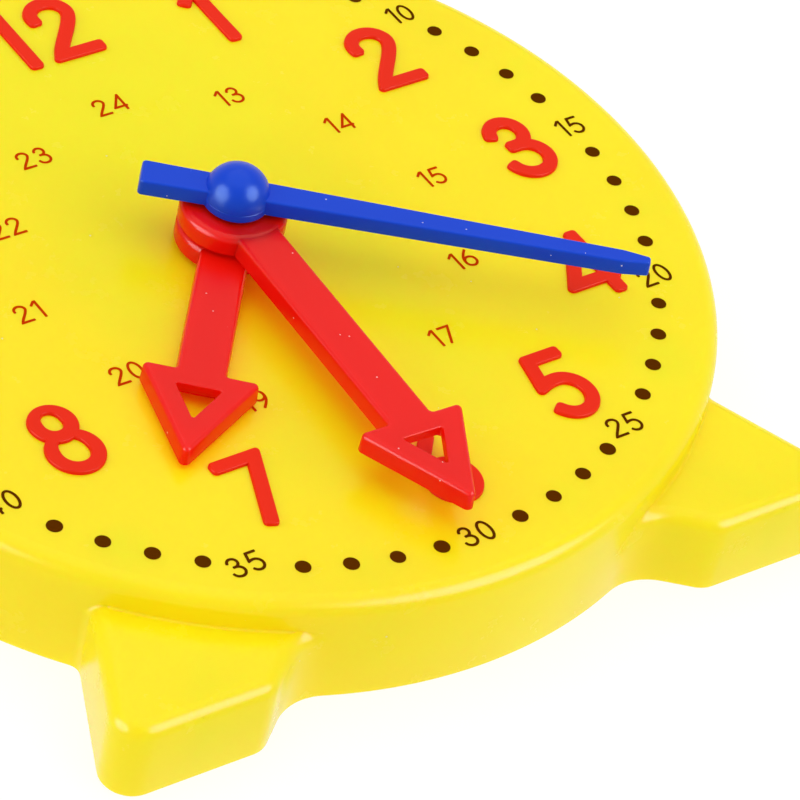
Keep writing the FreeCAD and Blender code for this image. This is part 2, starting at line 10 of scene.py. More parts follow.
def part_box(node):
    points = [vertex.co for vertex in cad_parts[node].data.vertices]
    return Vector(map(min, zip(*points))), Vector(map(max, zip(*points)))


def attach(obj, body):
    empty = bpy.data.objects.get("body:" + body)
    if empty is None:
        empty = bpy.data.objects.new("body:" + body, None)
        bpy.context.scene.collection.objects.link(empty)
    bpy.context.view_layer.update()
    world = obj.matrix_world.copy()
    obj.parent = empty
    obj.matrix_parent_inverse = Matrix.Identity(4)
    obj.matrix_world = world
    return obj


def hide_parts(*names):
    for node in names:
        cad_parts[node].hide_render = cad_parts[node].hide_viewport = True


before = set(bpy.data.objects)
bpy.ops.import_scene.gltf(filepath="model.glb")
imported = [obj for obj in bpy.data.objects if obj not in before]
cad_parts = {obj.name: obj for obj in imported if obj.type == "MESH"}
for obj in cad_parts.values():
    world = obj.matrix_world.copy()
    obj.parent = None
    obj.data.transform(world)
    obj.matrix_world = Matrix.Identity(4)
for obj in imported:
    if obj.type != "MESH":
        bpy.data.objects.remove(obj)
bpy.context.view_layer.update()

bl_info = {
    "name": "Geared Teaching Clock",
    "version": (1, 0, 0),
    "blender": (4, 5, 0),
    "location": "View3D > Sidebar > Clock",
    "description": "Numerals, printed marks, smooth mouldings and finishes for a geared teaching clock",
    "category": "Object",
}

SHELL_LOW, SHELL_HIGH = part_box("front_shell")
HOUR_HAND_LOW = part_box("hour_hand")[0]
MINUTE_HAND_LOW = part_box("minute_hand")[0]
SECOND_HAND_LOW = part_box("second_hand")[0]
KNOB_LOW, KNOB_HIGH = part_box("setting_knob")
KNOB_SCREW_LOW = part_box("knob_screw")[0]
COVER_SCREWS_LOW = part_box("cover_screws")[0]
MILLIMETRE = 0.001
# Strength of the light that a white floor throws back.
FLOOR_LIGHT = 1.12
# How far red, green and blue light spreads inside the plastics.
YELLOW_GLOW = (0.004, 0.0012, 0.0003)
RED_GLOW = (0.004, 0.0003, 0.0002)
# How much of the lamps' light each face of the thin red hands lets through to what lies behind them.
RED_THROUGH = (0.95, 0.1, 0.0)
# Tints of what the yellow and blue plastics mirror.
YELLOW_GLOSS = (1.0, 0.4, 1.0)
BLUE_GLOSS = (0.65, 1.0, 1.0)


# ---- settings ----
def length(name, description, default):
    return FloatProperty(
        name=name, description=description, default=default, min=0.0, precision=5, unit="LENGTH"
    )


def angle(name, description, degrees):
    return FloatProperty(name=name, description=description, default=math.radians(degrees), unit="ROTATION")


def place(name, description, default):
    return FloatVectorProperty(
        name=name, description=description, default=default, precision=5, subtype="TRANSLATION"
    )


def colour(name, description, default):
    return FloatVectorProperty(
        name=name, description=description, default=default, min=0.0, max=1.0, subtype="COLOR"
    )


def count(name, description, default):
    return IntProperty(name=name, description=description, default=default, min=1)


class ClockBodySettings(bpy.types.PropertyGroup):
    radius: length("Radius", "Radius of the round body", 0.05)
    depth: length("Depth", "From the back rim to the dial", SHELL_HIGH.z)
    wall: length("Wall", "Thickness of the outer wall", 0.002)
    plate: length("Dial Plate", "Thickness of the dial", 0.0018)
    rim_round: length("Rim Round", "Round between the dial and the outer wall", 0.0017)
    bush_radius: length("Bush Radius", "Radius of the hole for the bush", 0.0037)
    foot_top: length("Foot Height", "From the back rim to the feet's front", 0.0089)
    foot_reach: length("Foot Reach", "From the hands' axis to the standing faces", -SHELL_LOW.y)
    foot_wall: length("Foot Wall", "Thickness of the feet's walls", 0.0016)
    foot_round: length("Foot Round", "Round along the feet's front edges", 0.0015)
    foot_blend: length("Foot Blend", "Hollow round between the feet's front and the outer wall", 0.0003)
    outer_corner: length("Outer Corner", "From the middle to a standing face's outer corner", 0.04335)
    inner_corner: length("Inner Corner", "From the middle to a standing face's inner corner", 0.0259)
    outer_lean: angle("Outer Lean", "Lean of the feet's outer sides from upright", 24.0)
    inner_lean: angle("Inner Lean", "Lean of the feet's inner sides from upright", 51.0)
    outer_round: length("Outer Round", "Round of the feet's outer corners", 0.003)
    inner_round: length("Inner Round", "Round of the feet's inner corners", 0.003)
    outer_web: length("Outer Web", "Hollow round from the outer side into the body", 0.0015)
    inner_web: length("Inner Web", "Hollow round from the inner side into the body", 0.006)
    back_round: length("Back Round", "Round along the back rim", 0.0003)
    ribs: count("Ribs", "Ribs that carry the cover", 12)
    rib_thick: length("Rib Thickness", "Thickness of each rib", 0.0012)
    colour: colour("Body Colour", "Colour of the body's plastic", (0.95, 0.775, 0.004))


# Where the middle of each printed hour lies, right of the hands' axis and towards 12, in millimetres.
HOUR_MARK_PLACES = {
    13: (12.5, 19.2),
    14: (21.0, 11.3),
    15: (25.3, 0.5),
    16: (21.1, -11.3),
    17: (12.7, -20.0),
    18: (0.8, -23.2),
    19: (-9.8, -20.5),
    20: (-19.2, -12.3),
    21: (-23.6, -1.2),
    22: (-19.4, 10.2),
    23: (-11.4, 18.4),
    24: (0.2, 22.6),
}


# How far some raised numerals sit off their even places, to the right and up, in millimetres.
NUMERAL_NUDGES = {
    1: (-0.95, 0.0),
    2: (-0.3, 0.0),
    4: (-0.1, 0.1),
    5: (0.15, -0.25),
    6: (0.25, -0.3),
    7: (0.15, 0.1),
    8: (-0.05, 0.3),
    12: (-1.15, -0.7),
}


class ClockMarkSettings(bpy.types.PropertyGroup):
    numeral_height: length("Numeral Height", "Height of the raised numerals", 0.0095)
    numeral_stroke: length("Numeral Stroke", "Width of the raised numerals' strokes", 0.00148)
    numeral_rise: length("Numeral Rise", "How far the numerals stand above the dial", 0.0004)
    numeral_ring: length("Numeral Ring", "Radius on which the numerals stand", 0.0356)
    numeral_shift: place("Numeral Shift", "Shift of the numerals' ring", (0.00095, 0.00015, 0.0))
    numeral_turn: angle("Numeral Turn", "Turn of the numerals' ring, counter-clockwise", 1.2)
    hour_height: length("Hour Mark Height", "Height of the printed 13 to 24", 0.0025)
    hour_stroke: length("Hour Mark Stroke", "Stroke width of the printed 13 to 24", 0.00028)
    hour_turn: angle("Hour Mark Turn", "Turn of the ring of 13 to 24, counter-clockwise", 1.4)
    minute_height: length("Minute Mark Height", "Height of the printed minute numbers", 0.0026)
    minute_stroke: length("Minute Mark Stroke", "Stroke width of the printed minute numbers", 0.0003)
    minute_ring: length("Minute Ring", "Radius on which the minute dots and numbers are printed", 0.04486)
    minute_shift: place("Minute Shift", "Shift of the minute ring", (-0.00114, 0.0004, 0.0))
    minute_turn: angle("Minute Turn", "Turn of the minute ring, counter-clockwise", 2.26)
    minute_number_shift: place(
        "Minute Number Shift", "Shift of the ring of minute numbers", (-0.00114, 0.0006, 0.0)
    )
    minute_number_turn: angle(
        "Minute Number Turn", "Turn of the ring of minute numbers, counter-clockwise", 1.45
    )
    dot_radius: length("Dot Radius", "Radius of the minute dots", 0.0008)
    ink: length("Ink Thickness", "Thickness of the printed marks", 0.00003)
    numeral_colour: colour("Numeral Colour", "Colour of the raised numerals", (0.8, 0.018, 0.001))
    hour_colour: colour("Hour Mark Colour", "Ink of 13 to 24", (0.5, 0.03, 0.0003))
    minute_colour: colour("Minute Mark Colour", "Ink of the minute dots and numbers", (0.09, 0.022, 0.0003))


class ClockHandSettings(bpy.types.PropertyGroup):
    hour_angle: angle("Hour Angle", "Where the hour hand points, clockwise from 12", 219.6)
    minute_angle: angle("Minute Angle", "Where the minute hand points, clockwise from 12", 181.4)
    second_angle: angle("Second Angle", "Where the second hand points, clockwise from 12", 127.3)
    hour_length: length("Hour Length", "From the axis to the hour hand's tip", 0.0339)
    minute_length: length("Minute Length", "From the axis to the minute hand's tip", 0.0442)
    thick: length("Thickness", "Thickness of the red hands", 0.0021)
    arm_width: length("Arm Width", "Width of the red hands' arms", 0.0048)
    draft: length("Draft", "How much wider each side is at its foot", 0.00012)
    edge: length("Edge Round", "Round along the red hands' front edges", 0.00042)
    head_length: length("Head Length", "Length of the arrowheads", 0.0117)
    head_width: length("Head Width", "Width of the arrowheads", 0.0118)
    head_round: length("Head Round", "Round of the arrowheads' corners", 0.0005)
    head_bar: length("Head Bar", "Width of the bars round the arrowheads' opening", 0.0022)
    head_plate: length("Head Plate", "Thickness of the arrowheads next to their opening", 0.001)
    head_hollow: length("Head Hollow", "How far the arrowheads are hollowed underneath", 0.0011)
    hub_radius: length("Hub Radius", "Radius of the red hands' hubs", 0.0054)
    hub_thick: length("Hub Thickness", "Thickness of the red hands' hubs", 0.0022)
    hub_round: length("Hub Round", "Round along the hubs' front edges", 0.00075)
    second_length: length("Second Length", "From the axis to the second hand's tip", 0.0413)
    second_tip: length("Tip Width", "Width of the second hand at its tip", 0.00095)
    second_neck: length("Neck", "Length over which the tip narrows", 0.0027)
    second_neck_width: length("Neck Width", "Width where the tip begins to narrow", 0.0018)
    second_tail: length("Tail", "From the axis to the tail's end", 0.0096)
    second_tail_width: length("Tail Width", "Width of the tail's end", 0.0034)
    second_thick: length("Bar Thickness", "Thickness of the second hand's bar", 0.0017)
    second_lift: length("Bar Lift", "From the foot of the boss to the bar", 0.0002)
    second_edge: length("Bar Edge Round", "Round along the bar's front edges", 0.00025)
    dome_radius: length("Dome Radius", "Radius of the boss and its dome", 0.00333)
    dome_straight: length("Boss Height", "Straight part of the boss under the dome", 0.00087)
    colour: colour("Red", "Colour of the hour and minute hands", (0.79, 0.005, 0.001))
    second_colour: colour("Blue", "Colour of the second hand", (0.003, 0.048, 0.6))


class ClockBackSettings(bpy.types.PropertyGroup):
    knob_radius: length("Knob Radius", "Radius of the setting knob", 0.007)
    knob_flutes: count("Knob Flutes", "Flutes round the setting knob", 8)
    flute_radius: length("Flute Radius", "Radius of each flute", 0.0015)
    flute_depth: length("Flute Depth", "Depth of each flute", 0.0009)
    knob_edge: length("Knob Edge Round", "Round along the knob's back edge", 0.0004)
    knob_seat: length("Knob Screw Seat", "Radius of the sunk seat for the knob's screw", 0.00205)
    motion_centre: length("Knob Centre", "From the hands' axis to the knob's", 0.022)
    screws: count("Cover Screws", "Screws that hold the cover", 4)
    screw_ring: length("Screw Ring", "Radius on which the cover screws stand", 0.045)
    screw_radius: length("Screw Head Radius", "Radius of the cover screws' heads", 0.0019)
    screw_height: length("Screw Head Height", "Height of the cover screws' heads", 0.0012)
    shank_radius: length("Shank Radius", "Radius of the cover screws' shanks", 0.0009)
    shank_length: length("Shank Length", "Length of the cover screws' shanks", 0.0055)
    rib_start: length("Rib Start", "Radius at which the ribs inside the wall start", 0.04198)
    knob_screw_radius: length("Knob Screw Head", "Radius of the knob screw's head", 0.0018)
    knob_screw_height: length("Knob Screw Height", "Height of the knob screw's head", 0.0009)
    cover_colour: colour("Cover Tint", "Tint of the clear cover", (0.93, 0.97, 0.98))
    gear_colour: colour("Gear Colour", "Colour of the gears", (0.66, 0.66, 0.63))


class ClockStudioSettings(bpy.types.PropertyGroup):
    camera: place("Camera", "Place of the camera", (-0.23556, -0.28011, 0.32269))
    aim: place("Aim", "Point in the middle of the view", (0.003522, -0.02596, 0.0123))
    roll: angle("Roll", "Turn of the camera about its line of sight", 13.832)
    lens: FloatProperty(name="Lens", description="Focal length", default=218.19, min=1.0, unit="CAMERA")
    world: FloatProperty(
        name="Surround Light",
        description="Strength of the white surround above the floor",
        default=0.55,
        min=0.0,
        subtype="FACTOR",
    )
    floor: colour("Floor Colour", "Colour of the floor", (0.9, 0.9, 0.9))


# ---- node trees from Python sums ----
class Value:
    """An output socket. Sums with it add Math nodes to its tree."""

    def __init__(self, maker, socket):
        self.maker = maker
        self.socket = socket

    def other(self, name):
        """Another output of the same node."""
        return Value(self.maker, self.socket.node.outputs[name])

    def maths(self, operation, first, second):
        return self.maker.node("ShaderNodeMath", {0: first, 1: second}, operation=operation)

    def __add__(self, other):
        return self.maths("ADD", self, other)

    __radd__ = __add__

    def __sub__(self, other):
        return self.maths("SUBTRACT", self, other)

    def __rsub__(self, other):
        return self.maths("SUBTRACT", other, self)

    def __mul__(self, other):
        return self.maths("MULTIPLY", self, other)

    __rmul__ = __mul__

    def __truediv__(self, other):
        return self.maths("DIVIDE", self, other)

    def __rtruediv__(self, other):
        return self.maths("DIVIDE", other, self)

    def __mod__(self, other):
        return self.maths("MODULO", self, other)

    def __lt__(self, other):
        return self.maths("LESS_THAN", self, other)

    def __gt__(self, other):
        return self.maths("GREATER_THAN", self, other)


class NodeMaker:
    """Adds nodes to one tree."""

    def __init__(self, tree):
        self.tree = tree

    def node(self, kind, inputs=None, output=0, **settings):
        """Adds a node, sets it, fills its inputs and gives the chosen output."""
        made = self.tree.nodes.new(kind)
        for key, setting in settings.items():
            setattr(made, key, setting)
        for key, value in (inputs or {}).items():
            if isinstance(value, Value):
                self.tree.links.new(value.socket, made.inputs[key])
            else:
                made.inputs[key].default_value = value
        return Value(self, made.outputs[output]) if len(made.outputs) else made


class Finish(NodeMaker):
    """A material with the noises and masks that moulded plastic, ink and metal share."""

    def __init__(self, name):
        self.material = bpy.data.materials.new(name)
        self.material.use_nodes = True
        super().__init__(self.material.node_tree)
        self.tree.nodes.clear()
        self.spot = self.node("ShaderNodeTexCoord", output="Object")

    def noise(self, scale, detail, roughness=0.5):
        inputs = {"Vector": self.spot, "Scale": scale, "Detail": detail, "Roughness": roughness}
        return self.node("ShaderNodeTexNoise", inputs)

    def ramp(self, value, low, high):
        """0 below low, 1 above high."""
        inputs = {"Value": value, "From Min": low, "From Max": high}
        return self.node("ShaderNodeMapRange", inputs, clamp=True)

    def specks(self, scale, size, share):
        """Small round spots, in a share of the cells of a scattered pattern."""
        cells = self.node("ShaderNodeTexVoronoi", {"Vector": self.spot, "Scale": scale})
        chosen = self.node("ShaderNodeSeparateColor", {"Color": cells.other("Color")}) < share
        return (cells < size) * chosen

    def blend(self, factor, first, second):
        inputs = {0: factor, 6: first, 7: second}
        return self.node("ShaderNodeMix", inputs, output=2, data_type="RGBA", clamp_factor=True)

    def bump(self, height, strength, distance):
        return self.node("ShaderNodeBump", {"Height": height, "Strength": strength, "Distance": distance})

    def shader(self, inputs):
        return self.node("ShaderNodeBsdfPrincipled", inputs)

    def done(self, shader):
        self.node("ShaderNodeOutputMaterial", {"Surface": shader})
        return self.material


def shade(tint, share):
    """A colour made darker or lighter, with its fourth channel."""
    return tuple(min(1.0, channel * share) for channel in tint) + (1.0,)


def moulded_plastic(
    name, tint, roughness, dust, specular=0.2, glow=None, gloss=(1.0, 1.0, 1.0), through=None
):
    """Glossy moulded plastic: faint mottling, orange peel, rub marks and a few dust specks.

    dust is the share of it that has specks, glow how far light spreads inside it, gloss the tint of what its
    face mirrors, and through the tint of the lamps' light behind each face of a thin piece.
    """
    finish = Finish(name)
    mottle = finish.noise(38.0, 3.0)
    colours = finish.blend(finish.ramp(mottle, 0.35, 0.65), shade(tint, 0.965), shade(tint, 1.02))
    dusty = finish.specks(1400.0, 0.12, dust)
    colours = finish.blend(dusty * 0.6, colours, (0.85, 0.85, 0.8, 1.0))
    rubbed = finish.ramp(finish.noise(210.0, 5.0, 0.65), 0.5, 0.72)
    peel = finish.noise(900.0, 1.0)
    waves = finish.noise(90.0, 1.0)
    inputs = {
        "Base Color": colours,
        "Roughness": roughness + rubbed * 0.04 + dusty * 0.4,
        "Specular IOR Level": specular,
        "Specular Tint": (*gloss, 1.0),
        "IOR": 1.5,
        "Normal": finish.bump(peel * 0.3 + waves * 3.0 + dusty * 0.8, 0.3, 0.00002),
    }
    if glow:
        inputs["Subsurface Weight"] = 0.5
        inputs["Subsurface Radius"] = glow
        inputs["Subsurface Scale"] = 1.0
    plastic = finish.shader(inputs)
    if through:
        shadow = finish.node("ShaderNodeLightPath", output="Is Shadow Ray")
        passing = finish.node("ShaderNodeBsdfTransparent", {"Color": (*through, 1.0)})
        plastic = finish.node("ShaderNodeMixShader", {0: shadow, 1: plastic, 2: passing})
    return finish.done(plastic)


def printed_ink(name, tint):
    """Pad-printed ink: slightly uneven, a little worn through."""
    finish = Finish(name)
    patches = finish.ramp(finish.noise(2600.0, 4.0, 0.7), 0.3, 0.75)
    colours = finish.blend(patches * 0.3, shade(tint, 1.0), shade(tint, 1.6))
    inputs = {
        "Base Color": colours,
        "Specular IOR Level": 0.0,
        "Roughness": 0.5 + patches * 0.15,
        "Normal": finish.bump(patches, 0.3, 0.00001),
    }
    return finish.done(finish.shader(inputs))


def brushed_steel(name, tint, roughness):
    """Plated steel with fine turning marks."""
    finish = Finish(name)
    marks = finish.noise(4200.0, 3.0, 0.6)
    stains = finish.ramp(finish.noise(500.0, 3.0), 0.4, 0.7)
    inputs = {
        "Base Color": finish.blend(stains, shade(tint, 1.0), shade(tint, 0.86)),
        "Metallic": 1.0,
        "Roughness": roughness + marks * 0.12,
        "Normal": finish.bump(marks, 0.2, 0.00001),
    }
    return finish.done(finish.shader(inputs))


def clear_plastic(name, tint):
    """Clear moulded sheet that shows its edges and a few fine scratches."""
    finish = Finish(name)
    edge = finish.node("ShaderNodeLayerWeight", {"Blend": 0.35}, output="Facing")
    hairs = finish.ramp(finish.noise(900.0, 6.0, 0.75), 0.62, 0.7)
    inputs = {
        "Base Color": finish.blend(hairs * 0.5, shade(tint, 1.0), shade(tint, 0.92)),
        "Roughness": 0.06 + hairs * 0.15,
        "IOR": 1.49,
        "Alpha": finish.ramp(edge, 0.0, 1.0) * 0.12 + 0.03 + hairs * 0.05,
        "Normal": finish.bump(finish.noise(120.0, 2.0), 0.15, 0.00003),
    }
    return finish.done(finish.shader(inputs))


# ---- flat outlines ----
# Steps round a corner of an outline.
CORNER_STEPS = 7
# Limits how far a sharp corner moves when its outline is offset.
SHARPEST_LEAN = 0.5
# Points closer than this, in millimetres, become one where strokes are joined and where a face is closed.
JOIN_STROKES = 0.0005
JOIN_FACES = 0.00001
# An outline's sides are no shorter than this, and its bends no flatter.
SHORTEST_SIDE = 0.02 * MILLIMETRE
FLATTEST_BEND = 0.01


def left_of(way):
    return Vector((-way.y, way.x))


def offset_loop(loop, distance):
    """A closed loop of points moved to its left by a distance."""
    moved = []
    for index, here in enumerate(loop):
        before = (here - loop[index - 1]).normalized()
        after = (loop[(index + 1) % len(loop)] - here).normalized()
        across = Vector((-before.y - after.y, before.x + after.x)).normalized()
        lean = across.dot(left_of(after))
        moved.append(here + across * (distance / max(lean, SHARPEST_LEAN)))
    return moved


def turn_point(spot, turn):
    cosine, sine = math.cos(turn), math.sin(turn)
    return Vector((spot.x * cosine - spot.y * sine, spot.x * sine + spot.y * cosine))


def ring_spot(radius, bearing):
    return Vector((radius * math.cos(bearing), radius * math.sin(bearing)))


def circle_loop(radius, steps, clockwise=False, middle=(0.0, 0.0)):
    ways = -1 if clockwise else 1
    return [ring_spot(radius, ways * math.tau * step / steps) + Vector(middle) for step in range(steps)]


def both_sides(corners):
    """Corners (x, y, radius) of the right half, and the same mirrored to the left."""
    return corners + [(-x, y, radius) for x, y, radius in corners[::-1] if x]


def swing(centre, start, end, steps):
    """Points on the short arc about a centre from one point to another."""
    sweep = -(start - centre).angle_signed(end - centre)
    return [centre + turn_point(start - centre, sweep * step / steps) for step in range(steps + 1)]


def rounded_loop(corners):
    """Closed loop through corners (x, y, radius), where radius 0 leaves a corner sharp."""
    spots = [Vector((x, y)) for x, y, _ in corners]
    loop = []
    for index, (_, _, radius) in enumerate(corners):
        corner = spots[index]
        before = (spots[index - 1] - corner).normalized()
        after = (spots[(index + 1) % len(corners)] - corner).normalized()
        if radius == 0:
            loop.append(corner)
        else:
            loop.extend(corner_arc(corner, before, after, radius, CORNER_STEPS))
    return loop


def corner_arc(corner, before, after, radius, steps):
    """Points of the arc that rounds a corner between the two directions that leave it."""
    half = before.angle(after) / 2
    centre = corner + (before + after).normalized() * (radius / math.sin(half))
    reach = radius / math.tan(half)
    return swing(centre, corner + before * reach, corner + after * reach, steps)


def counter_clockwise(spots, face):
    """The same face, turned round where it runs clockwise."""
    area = sum(spots[face[side - 1]].cross(spots[face[side]]) for side in range(len(face)))
    return face if area > 0 else face[::-1]


def outlines_of(polygons):
    """Outer and inner outlines of overlapping polygons, with the solid to their left."""
    spots = []
    faces = []
    for polygon in polygons:
        face = list(range(len(spots), len(spots) + len(polygon)))
        spots.extend(spot / MILLIMETRE for spot in polygon)
        faces.append(counter_clockwise(spots, face))
    found, _, triangles, _, _, owners = delaunay_2d_cdt(spots, [], faces, 1, JOIN_STROKES)
    sides = set()
    for triangle, owner in zip(triangles, owners):
        if owner:
            sides.update((triangle[side - 1], triangle[side]) for side in range(3))
    ahead = {}
    for start, end in sorted(sides):
        if (end, start) not in sides:
            ahead.setdefault(start, []).append(end)
    loops = []
    while ahead:
        first = min(ahead)
        loop = [first]
        here = ahead[first].pop()
        while here != first:
            loop.append(here)
            here = ahead[here].pop()
        ahead = {start: ends for start, ends in ahead.items() if ends}
        loops.append(tidy_loop([found[index] * MILLIMETRE for index in loop]))
    return [loop for loop in loops if len(loop) > 2]


def tidy_loop(loop):
    """Drops points that nearly coincide or lie on a straight run."""
    kept = []
    for spot in loop:
        if not kept or (spot - kept[-1]).length > SHORTEST_SIDE:
            kept.append(spot)
    tidied = []
    for index, here in enumerate(kept):
        before = here - kept[index - 1]
        after = kept[(index + 1) % len(kept)] - here
        if before.length > 0 and after.length > 0 and before.angle(after) > FLATTEST_BEND:
            tidied.append(here)
    return tidied


# ---- strokes of the numerals ----
# Degrees between the points of an arc.
ARC_STEP = 7.5


def curve_arc(centre_x, centre_y, radius_x, radius_y, start, end):
    """Points along part of an ellipse, in degrees."""
    parts = round(abs(end - start) / ARC_STEP)
    turns = [math.radians(start + (end - start) * part / parts) for part in range(parts + 1)]
    return [(centre_x + radius_x * math.cos(turn), centre_y + radius_y * math.sin(turn)) for turn in turns]


def curve_bow(start, start_pull, end_pull, end, parts=14):
    """Points along a bow that is pulled towards two points."""
    ends = [Vector((*spot, 0.0)) for spot in (start, start_pull, end_pull, end)]
    return [(spot.x, spot.y) for spot in interpolate_bezier(*ends, parts)]


# Each digit: its width for a height of 1, and its strokes on a square from -1 to 1.
DIGITS = {
    "0": (0.60, [curve_arc(0, 0, 1, 1, 0, 360)]),
    "1": (0.36, [[(-0.8, 0.66), (0.5, 1.0)], [(1, 1), (1, -1)]]),
    "2": (
        0.62,
        [
            curve_arc(0.03, 0.53, 0.935, 0.47, 187, 0)
            + curve_bow((0.965, 0.53), (0.95, 0.15), (-0.55, -0.5), (-1, -1))[1:]
            + [(1, -1)]
        ],
    ),
    "3": (
        0.63,
        [
            curve_arc(-0.02, 0.54, 0.8, 0.46, 165, -90) + [(-0.2, 0.08)],
            [(-0.2, 0.08), (0.0, 0.08)] + curve_arc(0.0, -0.46, 1, 0.54, 90, -164)[1:],
        ],
    ),
    "4": (0.7, [[(0.46, 0.845), (-1, -0.55), (0.84, -0.55)], [(0.62, 1), (0.62, -1)]]),
    "5": (
        0.62,
        [
            [(0.92, 1), (-0.51, 1), (-0.84, 0.12)]
            + curve_bow((-0.84, 0.12), (-0.6, 0.17), (-0.36, 0.21), (-0.03, 0.21), 6)[1:]
            + curve_arc(-0.03, -0.395, 1.03, 0.605, 90, -145)[1:]
        ],
    ),
    "6": (
        0.61,
        [
            curve_bow((0.36, 1), (-0.2, 0.66), (-1, 0.25), (-1, -0.28)),
            curve_arc(0, -0.42, 1, 0.58, 0, 360),
        ],
    ),
    "7": (0.6, [[(-1, 0.99), (0.94, 0.99), (-0.6, -0.97)]]),
    "8": (0.62, [curve_arc(0, 0.555, 0.79, 0.445, 0, 360), curve_arc(0, -0.445, 1, 0.555, 0, 360)]),
}
DIGITS["9"] = (DIGITS["6"][0], [[(-x, -y) for x, y in stroke] for stroke in DIGITS["6"][1]])
# Gap between two digits, as a share of their height.
DIGIT_GAP = 0.186
# Rounds of the strokes' ends as a share of their width, and outside a tight bend as a share of half of it.
END_ROUND = 0.28
TIGHT_BEND_ROUND = 0.66
# Rounds of the ends that meet at a split, as a share of the stroke's other ends.
SPLIT_ROUND = 0.02
# How much the inner half of a digit's closed strokes thins out at the top.
THINNING = {"8": 0.6}
# A run of points is split in two where it bends more than the first. A bend of more than the second is tight.
SHARP_BEND = math.radians(24)
TIGHT_BEND = math.radians(120)


def blunt_end(tip, onwards, half, corner):
    """Points round a stroke's end, from its right side to its left."""
    across = left_of(onwards)
    points = []
    for side, turns in ((-1, range(0, 4)), (1, range(3, -1, -1))):
        centre = tip - onwards * corner + across * (side * (half - corner))
        for turn in turns:
            bend = math.radians(30 * turn)
            aside = across * (side * corner * math.cos(bend))
            points.append(centre + aside + onwards * (corner * math.sin(bend)))
    return points


def smooth_stroke(points, half, start_corner, end_corner):
    """One polygon along a run of points without sharp bends."""
    first, last = points[0], points[-1]
    right = []
    left = []
    for index in range(1, len(points) - 1):
        here = points[index]
        if (here - first).length < start_corner or (here - last).length < end_corner:
            continue
        onwards = (points[index + 1] - points[index - 1]).normalized()
        across = left_of(onwards) * half
        right.append(here - across)
        left.append(here + across)
    ending = blunt_end(last, (last - points[-2]).normalized(), half, end_corner)
    beginning = blunt_end(first, (first - points[1]).normalized(), half, start_corner)
    return right + ending + left[::-1] + beginning


def bend_cover(before, here, after, half, corner):
    """Polygon that fills the outside of a sharp bend, rounded."""
    start = (here - before).normalized()
    end = (after - here).normalized()
    side = -1 if start.x * end.y - start.y * end.x > 0 else 1
    first = left_of(start) * side
    last = left_of(end) * side
    middle = (first + last).normalized()
    lean = first.dot(middle)
    if lean < math.cos(TIGHT_BEND / 2):
        corner = half * TIGHT_BEND_ROUND
    centre = here + middle * ((half - corner) / lean)
    sweep = -first.angle_signed(last)
    arc = [centre + turn_point(first * corner, sweep * step / 6) for step in range(7)]
    return [here, here + first * half] + arc + [here + last * half]


def closed_stroke(points, half, slim):
    """One small polygon for each step along a stroke that ends where it starts.

    slim is the share by which its inner half thins out at the top.
    """
    points = points[:-1]
    rights = []
    lefts = []
    for index, here in enumerate(points):
        onwards = (points[(index + 1) % len(points)] - points[index - 1]).normalized()
        across = left_of(onwards) * half
        rights.append(here - across)
        lefts.append(here + across * (1 - slim * max(0.0, -onwards.x) ** 2))
    turns = range(len(points))
    return [[rights[turn - 1], rights[turn], lefts[turn], lefts[turn - 1]] for turn in turns]


def stroke_polygons(points, width, corner, slim):
    """Polygons along a bent stroke. Its blunt ends stand half a width past its end points."""
    half = width / 2
    if (points[0] - points[-1]).length < half / 100:
        return closed_stroke(points, half, slim)
    first = points[0] + (points[0] - points[1]).normalized() * half
    last = points[-1] + (points[-1] - points[-2]).normalized() * half
    points = [first] + points[1:-1] + [last]
    runs = [[points[0]]]
    covers = []
    for index in range(1, len(points) - 1):
        runs[-1].append(points[index])
        before = points[index] - points[index - 1]
        after = points[index + 1] - points[index]
        if before.angle(after) > SHARP_BEND:
            covers.append(bend_cover(points[index - 1], points[index], points[index + 1], half, corner))
            runs.append([points[index]])
    runs[-1].append(points[-1])
    polygons = []
    for number, run in enumerate(runs):
        start_corner = corner if number == 0 else corner * SPLIT_ROUND
        end_corner = corner if number == len(runs) - 1 else corner * SPLIT_ROUND
        polygons.append(smooth_stroke(run, half, start_corner, end_corner))
    return polygons + covers


def number_outlines(text, height, stroke, centre, turn):
    """Outlines of a number written upright at a place, then turned about the hands' axis."""
    widths = [DIGITS[digit][0] * height for digit in text]
    left = -(sum(widths) + DIGIT_GAP * height * (len(text) - 1)) / 2
    loops = []
    for digit, width in zip(text, widths):
        across, upwards = (width - stroke) / 2, (height - stroke) / 2
        middle = left + width / 2
        polygons = []
        for line in DIGITS[digit][1]:
            points = [Vector((middle + x * across, y * upwards)) for x, y in line]
            polygons.extend(stroke_polygons(points, stroke, stroke * END_ROUND, THINNING.get(digit, 0.0)))
        for loop in outlines_of(polygons):
            loops.append([turn_point(spot, turn) + centre for spot in loop])
        left += width + DIGIT_GAP * height
    return loops


def ring_place(ring, clock_degrees, shift, turn):
    """Place on a ring at an angle clockwise from 12, with the ring's own shift and turn."""
    bearing = math.radians(90 - clock_degrees) + turn
    return Vector((ring * math.cos(bearing) + shift[0], ring * math.sin(bearing) + shift[1]))


